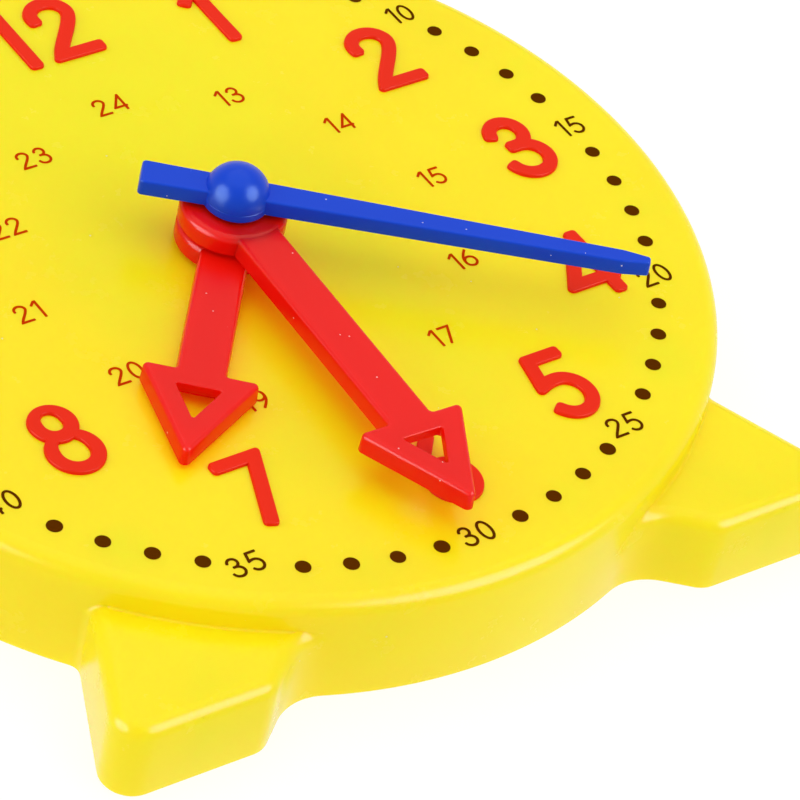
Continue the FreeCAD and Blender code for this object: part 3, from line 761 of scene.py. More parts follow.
# ---- solids from outlines and profiles ----
def cap(mesh, rings, upwards):
    """Closes nested rings of vertices with a flat face made of triangles."""
    corners = [vert for ring in rings for vert in ring]
    spots = [Vector((vert.co.x, vert.co.y)) / MILLIMETRE for vert in corners]
    faces = []
    start = 0
    for ring in rings:
        face = list(range(start, start + len(ring)))
        faces.append(counter_clockwise(spots, face))
        start += len(ring)
    found, _, triangles, sources, _, owners = delaunay_2d_cdt(spots, [], faces, 1, JOIN_FACES)
    height = corners[0].co.z
    verts = []
    for spot, source in zip(found, sources):
        crossing = (spot.x * MILLIMETRE, spot.y * MILLIMETRE, height)
        verts.append(corners[source[0]] if source else mesh.verts.new(crossing))
    for triangle, owner in zip(triangles, owners):
        if len(owner) % 2 == 1:
            ordered = triangle if upwards else triangle[::-1]
            mesh.faces.new([verts[index] for index in ordered])


def bridge(mesh, lower, upper):
    """Faces between two rings of equal length; the outside lies to the right of the rings."""
    for index in range(len(lower)):
        corners = (lower[index - 1], lower[index], upper[index], upper[index - 1])
        if len({vert.co.copy().freeze() for vert in corners}) == 4:
            mesh.faces.new(corners)


# The round of a hollow loop's edge as a share of the outer edge's.
OPENING_EDGE = 0.3


def rounding(radius, steps):
    """Steps along a quarter round, as pairs that go from (radius, 0) to (0, radius)."""
    bends = [math.pi / 2 * step / steps for step in range(steps + 1 if radius else 1)]
    return [(radius * (1 - math.sin(bend)), radius * (1 - math.cos(bend))) for bend in bends]


def moulding(mesh, loops, base, top, top_round=0.0, base_round=0.0, draft=0.0, steps=6, hollow=None):
    """Upright plate on closed loops that keep its solid to their left, with rounded edges.

    hollow, a width and a plate thickness, widens every loop but the first from the base up.
    """
    foot = [(inset, base + rise) for inset, rise in rounding(base_round, steps)]
    brow = [(inset, top - drop) for drop, inset in rounding(top_round, steps)]
    columns = []
    for loop in loops:
        column = []
        profile = foot + brow
        if hollow and columns:
            width, plate = hollow
            edge = [(inset * OPENING_EDGE, top - (top - height) * OPENING_EDGE) for inset, height in brow]
            profile = [(width, base), (width, top - plate), (0.0, top - plate)] + edge
        for inset, height in profile:
            lean = -draft * (top - height) / (top - base)
            column.append([mesh.verts.new((*spot, height)) for spot in offset_loop(loop, inset + lean)])
        for lower, upper in zip(column, column[1:]):
            bridge(mesh, lower, upper)
        columns.append(column)
    cap(mesh, [column[0] for column in columns], False)
    cap(mesh, [column[-1] for column in columns], True)


def turned_solid(mesh, profile, steps, centre=(0.0, 0.0)):
    """Solid turned on an upright axis from (radius, height) points that start and end at radius 0."""
    rings = [
        [mesh.verts.new((*spot, height)) for spot in circle_loop(radius, steps, middle=centre)]
        for radius, height in profile[1:-1]
    ]
    for lower, upper in zip(rings, rings[1:]):
        bridge(mesh, lower, upper)
    bottom = mesh.verts.new((*centre, profile[0][1]))
    top = mesh.verts.new((*centre, profile[-1][1]))
    for index in range(steps):
        mesh.faces.new((bottom, rings[0][index], rings[0][index - 1]))
        mesh.faces.new((top, rings[-1][index - 1], rings[-1][index]))


def quarter(radius_at, height_at, round_radius, start, end, steps):
    """(radius, height) points along an arc about a centre, in degrees."""
    bends = [math.radians(start + (end - start) * step / steps) for step in range(steps + 1)]
    ways = [(math.cos(bend), math.sin(bend)) for bend in bends]
    return [(radius_at + round_radius * out, height_at + round_radius * up) for out, up in ways]


def turned_foot(radius, base, edge=0.00015):
    """Start of a turned profile: the middle of its foot and the small round of the foot's edge."""
    return [(0, base)] + quarter(radius - edge, base + edge, edge, -90, 0, 3)


# Edges that bend more than the first stay sharp. Faces whose normal rises more than the second stay flat.
SHARP_EDGE = math.radians(32)
LEVEL = 0.9999


def linked(name, data):
    """A new object in the scene."""
    made = bpy.data.objects.new(name, data)
    bpy.context.collection.objects.link(made)
    return made


def new_piece(name, mesh, material):
    """Object from a bmesh: flat faces stay flat, curved ones are smooth, sharp edges are kept."""
    mesh.normal_update()
    for face in mesh.faces:
        face.smooth = abs(face.normal.z) < LEVEL
    for edge in mesh.edges:
        if len(edge.link_faces) == 2 and edge.calc_face_angle(0.0) > SHARP_EDGE:
            edge.smooth = False
    data = bpy.data.meshes.new(name)
    mesh.to_mesh(data)
    mesh.free()
    data.materials.append(material)
    return linked(name, data)


def settle(piece, body, slot, *nodes):
    """Rides the piece on its body and hides the nodes it stands for; the slot is not used."""
    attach(piece, body)
    if nodes:
        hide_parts(*nodes)


def finish_node(node, material):
    """Gives a CAD node a better material."""
    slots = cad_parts[node].material_slots
    if not slots:
        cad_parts[node].data.materials.append(material)
    for own in slots:
        own.material = material


# ---- copies round a ring ----
# More copies than any ring has, so that none is skipped.
NEVER = 1000
# Start is the first copy's angle, Skip leaves out every so many, and Change is how much their sizes vary.
RING_INPUTS = {
    "Shape": "Object",
    "Centre": "Vector",
    "Radius": "Float",
    "Copies": "Int",
    "Start": "Float",
    "Skip": "Int",
    "Change": "Float",
    "Seed": "Int",
    "Finish": "Material",
}


def ring_tree():
    """Copies of a shape on a circle, turned to face outwards, with each skipped one left out."""
    tree = bpy.data.node_groups.new("Copies Round A Ring", "GeometryNodeTree")
    for name, kind in RING_INPUTS.items():
        tree.interface.new_socket(name, in_out="INPUT", socket_type="NodeSocket" + kind)
    tree.interface.new_socket("Geometry", in_out="OUTPUT", socket_type="NodeSocketGeometry")
    maker = NodeMaker(tree)
    given = maker.node("NodeGroupInput")
    index = maker.node("GeometryNodeInputIndex")
    bearing = given.other("Start") + index * (math.tau / given.other("Copies"))
    cosine = maker.node("ShaderNodeMath", {0: bearing}, operation="COSINE")
    sine = maker.node("ShaderNodeMath", {0: bearing}, operation="SINE")
    radius = given.other("Radius")
    spot = maker.node("ShaderNodeCombineXYZ", {"X": cosine * radius, "Y": sine * radius})
    moved = maker.node("ShaderNodeVectorMath", {0: spot, 1: given.other("Centre")}, operation="ADD")
    points = maker.node("GeometryNodePoints", {"Count": given.other("Copies"), "Position": moved})
    skipped = {"Geometry": points, "Selection": (index + 1) % given.other("Skip") < 0.5}
    points = maker.node("GeometryNodeDeleteGeometry", skipped, domain="POINT")
    source = {"Object": given.other("Shape")}
    shape = maker.node("GeometryNodeObjectInfo", source, output="Geometry", transform_space="ORIGINAL")
    turn = maker.node("ShaderNodeCombineXYZ", {"Z": bearing})
    change = given.other("Change")
    spread = {"Min": 1 - change, "Max": 1 + change, "Seed": given.other("Seed")}
    sizes = maker.node("FunctionNodeRandomValue", spread, output=1, data_type="FLOAT")
    placed = {"Points": points, "Instance": shape, "Rotation": turn, "Scale": sizes}
    copies = maker.node("GeometryNodeInstanceOnPoints", placed)
    joined = maker.node("GeometryNodeRealizeInstances", {"Geometry": copies})
    surface = {"Geometry": joined, "Material": given.other("Finish")}
    finished = maker.node("GeometryNodeSetMaterial", surface)
    maker.node("NodeGroupOutput", {"Geometry": finished})
    return tree


def ring_of(name, shape, material, **values):
    """Plain mesh object of copies round a ring, from a shape whose own object is removed."""
    tree = bpy.data.node_groups.get("Copies Round A Ring") or ring_tree()
    holder = linked("Ring Holder", bpy.data.meshes.new("Ring Holder"))
    modifier = holder.modifiers.new("Ring", "NODES")
    modifier.node_group = tree
    values = {"Skip": NEVER, "Shape": shape, "Finish": material, **values}
    for item in tree.interface.items_tree:
        if item.in_out == "INPUT" and item.name in values:
            modifier[item.identifier] = values[item.name]
    bpy.context.view_layer.update()
    evaluated = holder.evaluated_get(bpy.context.evaluated_depsgraph_get())
    data = bpy.data.meshes.new_from_object(evaluated)
    data.name = name
    bpy.data.objects.remove(holder)
    bpy.data.objects.remove(shape)
    return linked(name, data)


# ---- body ----
def foot_side(body, corner_x, lean, facing, corner_radius, web_radius):
    """Points down one side of the right foot, from the body to the standing face."""
    corner = Vector((corner_x, -body.foot_reach))
    upwards = turn_point(Vector((0.0, 1.0)), lean)
    outward = turn_point(Vector((facing, 0.0)), lean)
    start = corner + outward * web_radius
    reach = body.radius + web_radius
    lead = start.dot(upwards)
    centre = start - upwards * (lead + math.sqrt(lead**2 - start.dot(start) + reach**2))
    web = swing(centre, centre - centre * (web_radius / reach), centre - outward * web_radius, 14)
    return web + corner_arc(corner, upwards, Vector((-facing, 0.0)), corner_radius, 12)


# Longest step along the feet's sides, and the steps of the round parts above and between the feet.
LONGEST_STEP = 0.0007
STEPS_AROUND = 300
STEPS_UNDER = 50


def body_outline(body):
    """Outline of the body with both feet, as (point, inward direction, depth outside the round body)."""
    inner = foot_side(body, body.inner_corner, body.inner_lean, -1.0, body.inner_round, body.inner_web)
    outer = foot_side(body, body.outer_corner, body.outer_lean, 1.0, body.outer_round, body.outer_web)
    right = close_steps(inner + outer[::-1])
    left = [Vector((-spot.x, spot.y)) for spot in right[::-1]]
    first = math.atan2(right[-1].y, right[-1].x)
    last = math.pi - first
    low = math.atan2(left[-1].y, left[-1].x)
    around = [first + (last - first) * step / STEPS_AROUND for step in range(1, STEPS_AROUND)]
    under = [low + (-math.pi - 2 * low) * step / STEPS_UNDER for step in range(1, STEPS_UNDER)]
    spots = right + [ring_spot(body.radius, bearing) for bearing in around]
    spots += left + [ring_spot(body.radius, bearing) for bearing in under]
    outline = []
    for index, here in enumerate(spots):
        onwards = (spots[(index + 1) % len(spots)] - spots[index - 1]).normalized()
        depth = max(0.0, here.length - body.radius)
        outline.append((here, left_of(onwards), depth))
    return outline


def close_steps(spots):
    """The same run of points with long gaps filled."""
    filled = [spots[0]]
    for spot in spots[1:]:
        parts = math.ceil((spot - filled[-1]).length / LONGEST_STEP)
        start = filled[-1]
        filled.extend(start.lerp(spot, part / parts) for part in range(1, parts + 1))
    return filled


def room_inward(body, spot, inward):
    """How far it is from a point of the outline straight in to the round body."""
    lead = spot.dot(inward)
    room = lead**2 - spot.dot(spot) + body.radius**2
    return max(0.0, -lead - math.sqrt(room)) if room > 0 else math.inf


def shell_rows(body):
    """Rings of points from the bush hole over the dial, the rim and the feet, and back through the inside."""
    outline = body_outline(body)
    rooms = [room_inward(body, spot, inward) for spot, inward, _ in outline]
    inset = [spot + inward * min(room, body.foot_round) for (spot, inward, _), room in zip(outline, rooms)]
    ways = [spot.normalized() for spot in inset]
    shares = [max(0.0, min(1.0, (spot.length - body.radius) / body.foot_blend)) for spot in inset]

    def circles(profile):
        return [[(*(way * radius), height) for way in ways] for radius, height in profile]

    rim = body.rim_round
    rows = circles([(body.bush_radius, body.depth)])
    rows += circles(quarter(body.radius - rim, body.depth - rim, rim, 90, 0, 9))
    for rise, out in rounding(body.foot_blend, 6):
        height = body.foot_top + rise
        rows.append([(*(way * (body.radius + out * share)), height) for way, share in zip(ways, shares)])
    for by, drop in rounding(body.foot_round, 7):
        height = body.foot_top - drop
        rows.append([(*(spot + n * min(by, room)), height) for (spot, n, _), room in zip(outline, rooms)])
    for height, by in rounding(body.back_round, 4):
        rows.append([(*(spot + n * by), height) for spot, n, _ in outline])
    rows += pocket_rows(body, outline, ways)
    inside, edge, corner = body.radius - body.wall, body.back_round, body.foot_round
    ceiling = body.depth - body.plate
    rows += circles(quarter(inside + edge, edge, edge, 270, 180, 4))
    rows += circles(quarter(inside - corner, ceiling - corner, corner, 0, 90, 6))
    return rows + circles([(body.bush_radius, ceiling)])


# A foot is hollow where it stands out by more than this many of its walls' thickness.
HOLLOW_FROM = 1.7
# Where the flat of the back rim starts, in radii of its round.
RIM_FLAT = 1.5


def pocket_rows(body, outline, ways):
    """Four rings that sink a hollow into each foot from the back; elsewhere they lie flat on the rim."""
    floor = body.foot_top - body.foot_wall
    rim_flat = RIM_FLAT * body.back_round
    rows = [[], [], [], []]
    for (spot, inward, depth), way in zip(outline, ways):
        if depth > HOLLOW_FROM * body.foot_wall:
            brink = spot + inward * body.foot_wall
            rows[0].append((*brink, 0.0))
            rows[1].append((*brink, floor))
            rows[2].append((*(way * body.radius), floor))
            rows[3].append((*(way * body.radius), 0.0))
        else:
            start = spot + inward * rim_flat
            for row, share in zip(rows, (0.0, 0.2, 0.4, 0.6)):
                row.append((*start.lerp(way * (body.radius - rim_flat - body.wall / 2), share), 0.0))
    return rows


# Points of the body's mesh that are closer than this become one.
SAME_SPOT = 0.0000005


def shell_mesh(body):
    """Closed mesh of the hollow body with its feet."""
    mesh = bmesh.new()
    rows = [[mesh.verts.new(spot) for spot in row] for row in shell_rows(body)]
    for upper, lower in zip(rows, rows[1:] + rows[:1]):
        for index in range(len(upper)):
            mesh.faces.new((lower[index - 1], lower[index], upper[index], upper[index - 1]))
    bmesh.ops.remove_doubles(mesh, verts=mesh.verts, dist=SAME_SPOT)
    bmesh.ops.recalc_face_normals(mesh, faces=mesh.faces)
    return mesh


# Round of the ribs' and bosses' back edges, the bosses' wall round their screws, and how far the feet's ribs
# stay in from the back, lean from upright, lie above the standing faces and reach from end to end.
INSIDE_ROUND = 0.0002
BOSS_WALL = 0.0016
FOOT_RIB_LIFT = 0.0012
FOOT_RIB_LEAN = math.radians(35)
FOOT_RIB_RISE = 0.0063
FOOT_RIB_LENGTH = 0.0115
# Where the first rib and the first cover screw stand, counter-clockwise from 3.
FIRST_RIB = math.radians(15)
FIRST_SCREW = math.radians(45)


def bar_loop(length_, width, middle=(0.0, 0.0), turn=0.0):
    """Rectangle with its long side along its own x."""
    corners = ((-0.5, -0.5), (0.5, -0.5), (0.5, 0.5), (-0.5, 0.5))
    return [turn_point(Vector((x * length_, y * width)), turn) + Vector(middle) for x, y in corners]


class CLOCK_OT_body(bpy.types.Operator):
    """Smooth moulded body with its feet, ribs and screw bosses"""

    bl_idname = "clock.body"
    bl_label = "Body"

    def execute(self, context):
        body = context.scene.clock_body
        back = context.scene.clock_back
        plastic = moulded_plastic(
            "Yellow Moulding", body.colour, 0.25, 0.003, glow=YELLOW_GLOW, gloss=YELLOW_GLOSS
        )
        settle(new_piece("Clock_Body", shell_mesh(body), plastic), "housing", "body_yellow", "front_shell")

        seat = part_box("rear_cover")[1].z
        top = body.depth - body.plate + body.plate / 4
        span = body.radius - body.wall / 2 - back.rib_start
        rib = bmesh.new()
        moulding(rib, [bar_loop(span, body.rib_thick)], seat, top, base_round=INSIDE_ROUND, steps=3)
        shape = new_piece("Rib Shape", rib, plastic)
        places = {"Radius": back.rib_start + span / 2, "Copies": body.ribs, "Start": FIRST_RIB, "Seed": 1}
        settle(ring_of("Ribs", shape, plastic, **places), "housing", "body_yellow")

        radius = back.shank_radius + BOSS_WALL
        boss = bmesh.new()
        turned_solid(boss, turned_foot(radius, seat, INSIDE_ROUND) + [(radius, top), (0, top)], 48)
        shape = new_piece("Boss Shape", boss, plastic)
        places = {"Radius": back.screw_ring, "Copies": back.screws, "Start": FIRST_SCREW, "Seed": 1}
        settle(ring_of("Screw_Bosses", shape, plastic, **places), "housing", "body_yellow")

        webs = bmesh.new()
        top = body.foot_top - body.foot_wall / 2
        for side in (-1, 1):
            foot = Vector((side * (body.outer_corner + body.inner_corner) / 2, -body.foot_reach))
            middle = foot + turn_point(Vector((0.0, FOOT_RIB_RISE)), side * FOOT_RIB_LEAN)
            loop = bar_loop(FOOT_RIB_LENGTH, body.rib_thick, middle, math.radians(90) + side * FOOT_RIB_LEAN)
            moulding(webs, [loop], FOOT_RIB_LIFT, top, base_round=INSIDE_ROUND, steps=3)
        settle(new_piece("Foot_Ribs", webs, plastic), "housing", "body_yellow")
        return {"FINISHED"}


# How far the numerals reach into the dial, the round of their front edges, and how much wider their foot is.
NUMERAL_SUNK = 0.0001
NUMERAL_ROUND = 0.00013
NUMERAL_DRAFT = 0.00006


class CLOCK_OT_numerals(bpy.types.Operator):
    """Raised numerals 1 to 12"""

    bl_idname = "clock.numerals"
    bl_label = "Raised Numerals"

    def execute(self, context):
        marks = context.scene.clock_marks
        dial = context.scene.clock_body.depth
        mesh = bmesh.new()
        turn = marks.numeral_turn
        top = dial + marks.numeral_rise
        for number in range(1, 13):
            centre = ring_place(marks.numeral_ring, number * 30, marks.numeral_shift, turn)
            centre += Vector(NUMERAL_NUDGES.get(number, (0.0, 0.0))) * MILLIMETRE
            loops = number_outlines(str(number), marks.numeral_height, marks.numeral_stroke, centre, turn)
            moulding(mesh, loops, dial - NUMERAL_SUNK, top, NUMERAL_ROUND, draft=NUMERAL_DRAFT, steps=4)
        red = moulded_plastic("Numeral Red", marks.numeral_colour, 0.36, 0.004, 0.1)
        settle(new_piece("Numerals", mesh, red), "housing", "hands_red")
        return {"FINISHED"}


def flat_numbers(name, centres, height, stroke, turn, context, material, slot):
    """Printed numbers as one thin piece, from the place of each number's middle."""
    dial, ink = context.scene.clock_body.depth, context.scene.clock_marks.ink
    mesh = bmesh.new()
    for number, centre in centres.items():
        loops = number_outlines(str(number), height, stroke, centre, turn)
        moulding(mesh, loops, dial - ink / 3, dial + ink)
    settle(new_piece(name, mesh, material), "housing", slot)


class CLOCK_OT_printed_marks(bpy.types.Operator):
    """Printed 13 to 24, minute numbers and minute dots"""

    bl_idname = "clock.printed_marks"
    bl_label = "Printed Marks"

    def execute(self, context):
        marks = context.scene.clock_marks
        red = printed_ink("Hour Ink", marks.hour_colour)
        brown = printed_ink("Minute Ink", marks.minute_colour)
        centres = {number: Vector(spot) * MILLIMETRE for number, spot in HOUR_MARK_PLACES.items()}
        size = (marks.hour_height, marks.hour_stroke, marks.hour_turn)
        flat_numbers("Hour_Numbers", centres, *size, context, red, "hands_red")

        turn = marks.minute_number_turn
        centres = {
            number: ring_place(marks.minute_ring, number * 6, marks.minute_number_shift, turn)
            for number in range(5, 65, 5)
        }
        size = (marks.minute_height, marks.minute_stroke, turn)
        flat_numbers("Minute_Numbers", centres, *size, context, brown, "body_yellow")

        dot = bmesh.new()
        moulding(dot, [circle_loop(marks.dot_radius, 28)], -marks.ink / 3, marks.ink)
        places = {
            "Centre": (*marks.minute_shift[:2], context.scene.clock_body.depth),
            "Radius": marks.minute_ring,
            "Copies": 60,
            "Start": math.radians(90 + 6) + marks.minute_turn,
            "Skip": 5,
            "Change": 0.03,
            "Seed": 7,
        }
        dots = ring_of("Minute_Dots", new_piece("Dot Shape", dot, brown), brown, **places)
        settle(dots, "housing", "body_yellow")
        return {"FINISHED"}


# ---- hands ----
# Rounds along an arm's back edges, where it meets its arrowhead, and in the arrowheads' openings.
ARM_FOOT_ROUND = 0.0001
ARM_ROUND = 0.0004
OPENING_ROUND = 0.0002


def arrow_loops(hands, length_, clock_angle):
    """Outline and opening of a red hand, turned to where it points."""
    back = length_ - hands.head_length
    half_arm = hands.arm_width / 2
    half_head = hands.head_width / 2
    slant = math.hypot(hands.head_length, half_head)
    share = 1 - hands.head_bar * (hands.head_width + 2 * slant) / (hands.head_width * hands.head_length)
    low = back + hands.head_bar
    sides = [(half_arm, 0.0, 0), (half_arm, back, ARM_ROUND), (half_head, back, hands.head_round)]
    outline = rounded_loop(both_sides(sides + [(0.0, length_, hands.head_round)]))
    peak = low + hands.head_length * share
    opening = rounded_loop(both_sides([(-half_head * share, low, OPENING_ROUND), (0.0, peak, OPENING_ROUND)]))
    return [[turn_point(spot, -clock_angle) for spot in loop] for loop in (outline, opening)]


def red_hand(name, hands, length_, base, clock_angle, material):
    """A hand with its hub, from its length, the height of its back and where it points."""
    mesh = bmesh.new()
    loops = arrow_loops(hands, length_, clock_angle)
    hollow = (hands.head_hollow, hands.head_plate)
    moulding(mesh, loops, base, base + hands.thick, hands.edge, ARM_FOOT_ROUND, hands.draft, hollow=hollow)
    top = base + hands.hub_thick
    shoulder = quarter(hands.hub_radius - hands.hub_round, top - hands.hub_round, hands.hub_round, 0, 90, 10)
    turned_solid(mesh, turned_foot(hands.hub_radius, base) + shoulder + [(0, top)], 128)
    return new_piece(name, mesh, material)


class CLOCK_OT_red_hands(bpy.types.Operator):
    """Hour and minute hands with rounded edges and hubs"""

    bl_idname = "clock.red_hands"
    bl_label = "Hour And Minute Hands"

    def execute(self, context):
        hands = context.scene.clock_hands
        red = moulded_plastic("Red Moulding", hands.colour, 0.23, 0.07, glow=RED_GLOW, through=RED_THROUGH)
        hour = (hands.hour_length, HOUR_HAND_LOW.z, hands.hour_angle)
        settle(red_hand("Hour_Hand", hands, *hour, red), "hours", "hands_red", "hour_hand")
        minute = (hands.minute_length, MINUTE_HAND_LOW.z, hands.minute_angle)
        settle(red_hand("Minute_Hand", hands, *minute, red), "minutes", "hands_red", "minute_hand")
        return {"FINISHED"}


# Round along the second hand's back edges, and how much wider each side is at its foot.
BAR_FOOT_ROUND = 0.00008
BAR_DRAFT = 0.00008
# The fine groove under its dome: depth and height.
GROOVE_DEPTH = 0.00008
GROOVE_HEIGHT = 0.00006
# Rounds of its corners at the tail, where the tip begins to narrow, and at the tip.
TAIL_ROUND = 0.0004
NECK_ROUND = 0.0012
TIP_ROUND = 0.00032


class CLOCK_OT_second_hand(bpy.types.Operator):
    """Tapered second hand on a domed boss"""

    bl_idname = "clock.second_hand"
    bl_label = "Second Hand"

    def execute(self, context):
        hands = context.scene.clock_hands
        mesh = bmesh.new()
        neck = hands.second_length - hands.second_neck
        tail, middle, tip = hands.second_tail_width / 2, hands.second_neck_width / 2, hands.second_tip / 2
        sides = [
            (tail, -hands.second_tail, TAIL_ROUND),
            (middle, neck, NECK_ROUND),
            (tip, hands.second_length, TIP_ROUND),
        ]
        loop = rounded_loop(both_sides(sides))
        loop = [turn_point(spot, -hands.second_angle) for spot in loop]
        base = SECOND_HAND_LOW.z
        lift = base + hands.second_lift
        moulding(mesh, [loop], lift, lift + hands.second_thick, hands.second_edge, BAR_FOOT_ROUND, BAR_DRAFT)

        radius = hands.dome_radius
        waist = base + hands.dome_straight
        groove = [(radius - GROOVE_DEPTH / 4, waist - GROOVE_HEIGHT), (radius - GROOVE_DEPTH, waist)]
        dome = quarter(0, waist, radius, 1, 87, 24)
        turned_solid(mesh, turned_foot(radius, base) + groove + dome + [(0, waist + radius)], 128)
        blue = moulded_plastic("Blue Moulding", hands.second_colour, 0.25, 0.07, gloss=BLUE_GLOSS)
        settle(new_piece("Second_Hand", mesh, blue), "seconds", "second_blue", "second_hand")
        return {"FINISHED"}


# ---- back ----
# The knob: its bore, the round of its front edges, how far the floor of the screw's seat reaches into the
# knob's wall and stays short of its front, and how steep the flutes are.
KNOB_BORE = 0.00125
KNOB_FRONT_ROUND = 0.00015
SEAT_OVERLAP = 0.0002
SEAT_GAP = 0.0001
FLUTE_STEEPNESS = 1.6
# The knob screw's shank: its radius and length.
KNOB_SHANK = (0.0006, 0.003)
# A screw's cross recess: reach and width as shares of the head's radius, depth as a share of its height.
CROSS_REACH = 0.55
CROSS_WIDTH = 0.2
CROSS_DEPTH = 0.55
# Round of a screw's head as a share of its height.
HEAD_ROUND = 0.32


def cross_loop(reach, width, middle):
    """Cross-shaped opening, drawn clockwise so that the solid lies to its left."""
    half = width / 2
    arm = [Vector(spot) for spot in ((-reach, half), (-half, half), (-half, reach))]
    return [turn_point(spot, -math.pi / 2 * turns) + Vector(middle) for turns in range(4) for spot in arm]


def cross_screw(mesh, radius, height, low, shank_radius, shank_length, middle=(0.0, 0.0)):
    """Screw with its rounded head towards the back and a cross recess."""
    rim = circle_loop(radius, 56, middle=middle)
    cross = cross_loop(radius * CROSS_REACH, radius * CROSS_WIDTH, middle)
    floor = low + height * CROSS_DEPTH
    moulding(mesh, [rim, cross], low, floor, base_round=height * HEAD_ROUND, steps=4)
    moulding(mesh, [rim], floor, low + height)
    top = low + height + shank_length
    shank = [(0, low + height), (shank_radius, low + height), (shank_radius, top), (0, top)]
    turned_solid(mesh, shank, 32, middle)


def knob_loop(back, middle):
    """Outline of the knob with soft flutes."""
    loop = []
    steps = 40 * back.knob_flutes
    for step in range(steps):
        bearing = math.tau * step / steps
        off = ((bearing * back.knob_flutes / math.tau + 0.5) % 1.0 - 0.5) * math.tau / back.knob_flutes
        aside = off * back.knob_radius / back.flute_radius
        dip = back.flute_depth * math.exp(-(aside**2) * FLUTE_STEEPNESS)
        loop.append(ring_spot(back.knob_radius - dip, bearing) + middle)
    return loop


class CLOCK_OT_back(bpy.types.Operator):
    """Clear cover, its screws, and the setting knob with its screw"""

    bl_idname = "clock.back"
    bl_label = "Cover, Screws And Knob"

    def execute(self, context):
        back = context.scene.clock_back
        hands = context.scene.clock_hands
        finish_node("rear_cover", clear_plastic("Clear Cover", back.cover_colour))
        plated = brushed_steel("Plated Screw", (0.72, 0.71, 0.68), 0.24)

        screw = bmesh.new()
        head = (back.screw_radius, back.screw_height, COVER_SCREWS_LOW.z)
        cross_screw(screw, *head, back.shank_radius, back.shank_length)
        shape = new_piece("Screw Shape", screw, plated)
        places = {"Radius": back.screw_ring, "Copies": back.screws, "Start": FIRST_SCREW, "Seed": 3}
        settle(ring_of("Cover_Screws", shape, plated, **places), "housing", "screw_steel", "cover_screws")

        middle = Vector((0.0, -back.motion_centre))
        blue = moulded_plastic("Knob Blue", hands.second_colour, 0.25, 0.004)
        knob = bmesh.new()
        seat = circle_loop(back.knob_seat, 64, True, middle)
        rim = knob_loop(back, middle)
        moulding(knob, [rim, seat], KNOB_LOW.z, KNOB_HIGH.z, KNOB_FRONT_ROUND, back.knob_edge)
        floor = KNOB_SCREW_LOW.z + back.knob_screw_height
        plate = circle_loop(back.knob_seat + SEAT_OVERLAP, 64, middle=middle)
        bore = circle_loop(KNOB_BORE, 48, True, middle)
        moulding(knob, [plate, bore], floor, KNOB_HIGH.z - SEAT_GAP)
        settle(new_piece("Setting_Knob", knob, blue), "motion", "knob_blue", "setting_knob")

        screw = bmesh.new()
        head = (back.knob_screw_radius, back.knob_screw_height, KNOB_SCREW_LOW.z)
        cross_screw(screw, *head, *KNOB_SHANK, middle)
        settle(new_piece("Knob_Screw", screw, plated), "motion", "screw_steel", "knob_screw")
        return {"FINISHED"}


# How bright the bush is against the gears.
BUSH_SHADE = 0.96


class CLOCK_OT_gear_train(bpy.types.Operator):
    """Finishes of the wheels, washers, arbors and the bush behind the dial"""

    bl_idname = "clock.gear_train"
    bl_label = "Gear Train"

    def execute(self, context):
        back = context.scene.clock_back
        white = moulded_plastic("White Gear Plastic", back.gear_colour, 0.38, 0.0)
        bush = moulded_plastic("Bush Plastic", shade(back.gear_colour, BUSH_SHADE)[:3], 0.34, 0.0)
        steel = brushed_steel("Turned Steel", (0.62, 0.61, 0.6), 0.2)
        for node in ("seconds_pinion", "reduction_wheel", "minute_wheel", "motion_wheel", "hour_wheel"):
            finish_node(node, white)
        for node in ("seconds_arbor", "reduction_pin", "setting_arbor"):
            finish_node(node, steel)
        for node in ("seconds_washer", "minute_washer", "setting_washer"):
            finish_node(node, steel)
        finish_node("dial_bush", bush)
        return {"FINISHED"}


# ---- studio ----
# How bright the floor is where it is in full shade, and the share of its colour that is lit on top of that.
FLOOR_GLOW = 0.8
FLOOR_LIT = 0.25
# How far above and below the horizon the floor's light fades into the surround's.
HORIZON = 0.1


def floor_finish(tint):
    """White floor that keeps a soft shadow, and lets light and views through from below."""
    finish = Finish("Studio Floor")
    path = finish.node("ShaderNodeLightPath", output="Is Camera Ray")
    behind = finish.node("ShaderNodeNewGeometry", output="Backfacing")
    lit = finish.node("ShaderNodeBsdfDiffuse", {"Color": shade(tint, FLOOR_LIT)})
    glow = finish.node("ShaderNodeEmission", {"Color": (1.0, 1.0, 1.0, 1.0), "Strength": FLOOR_GLOW})
    seen = finish.node("ShaderNodeAddShader", {0: lit, 1: glow})
    through = finish.node("ShaderNodeBsdfTransparent")
    return finish.done(finish.node("ShaderNodeMixShader", {0: path * (1 - behind), 1: through, 2: seen}))


def surround(strength):
    """White world, full white where seen or mirrored. Its light is softer from above than off the floor."""
    world = bpy.data.worlds.new("Studio Surround")
    bpy.context.scene.world = world
    world.use_nodes = True
    maker = NodeMaker(world.node_tree)
    world.node_tree.nodes.clear()
    path = maker.node("ShaderNodeLightPath")
    seen = path.other("Is Camera Ray") + path.other("Is Glossy Ray") + path.other("Is Transmission Ray")
    bearing = maker.node("ShaderNodeTexCoord", output="Generated")
    height = maker.node("ShaderNodeSeparateXYZ", {"Vector": bearing}, output="Z")
    span = {"Value": height, "From Min": -HORIZON, "From Max": HORIZON}
    above = maker.node("ShaderNodeMapRange", span, clamp=True)
    light = FLOOR_LIGHT + (strength - FLOOR_LIGHT) * above
    level = light + (1 - light) * (seen > 0.5)
    back = maker.node("ShaderNodeBackground", {"Color": (1.0, 1.0, 1.0, 1.0), "Strength": level})
    maker.node("ShaderNodeOutputWorld", {"Surface": back})


# From the floor's middle to its edges.
FLOOR_REACH = 4.0
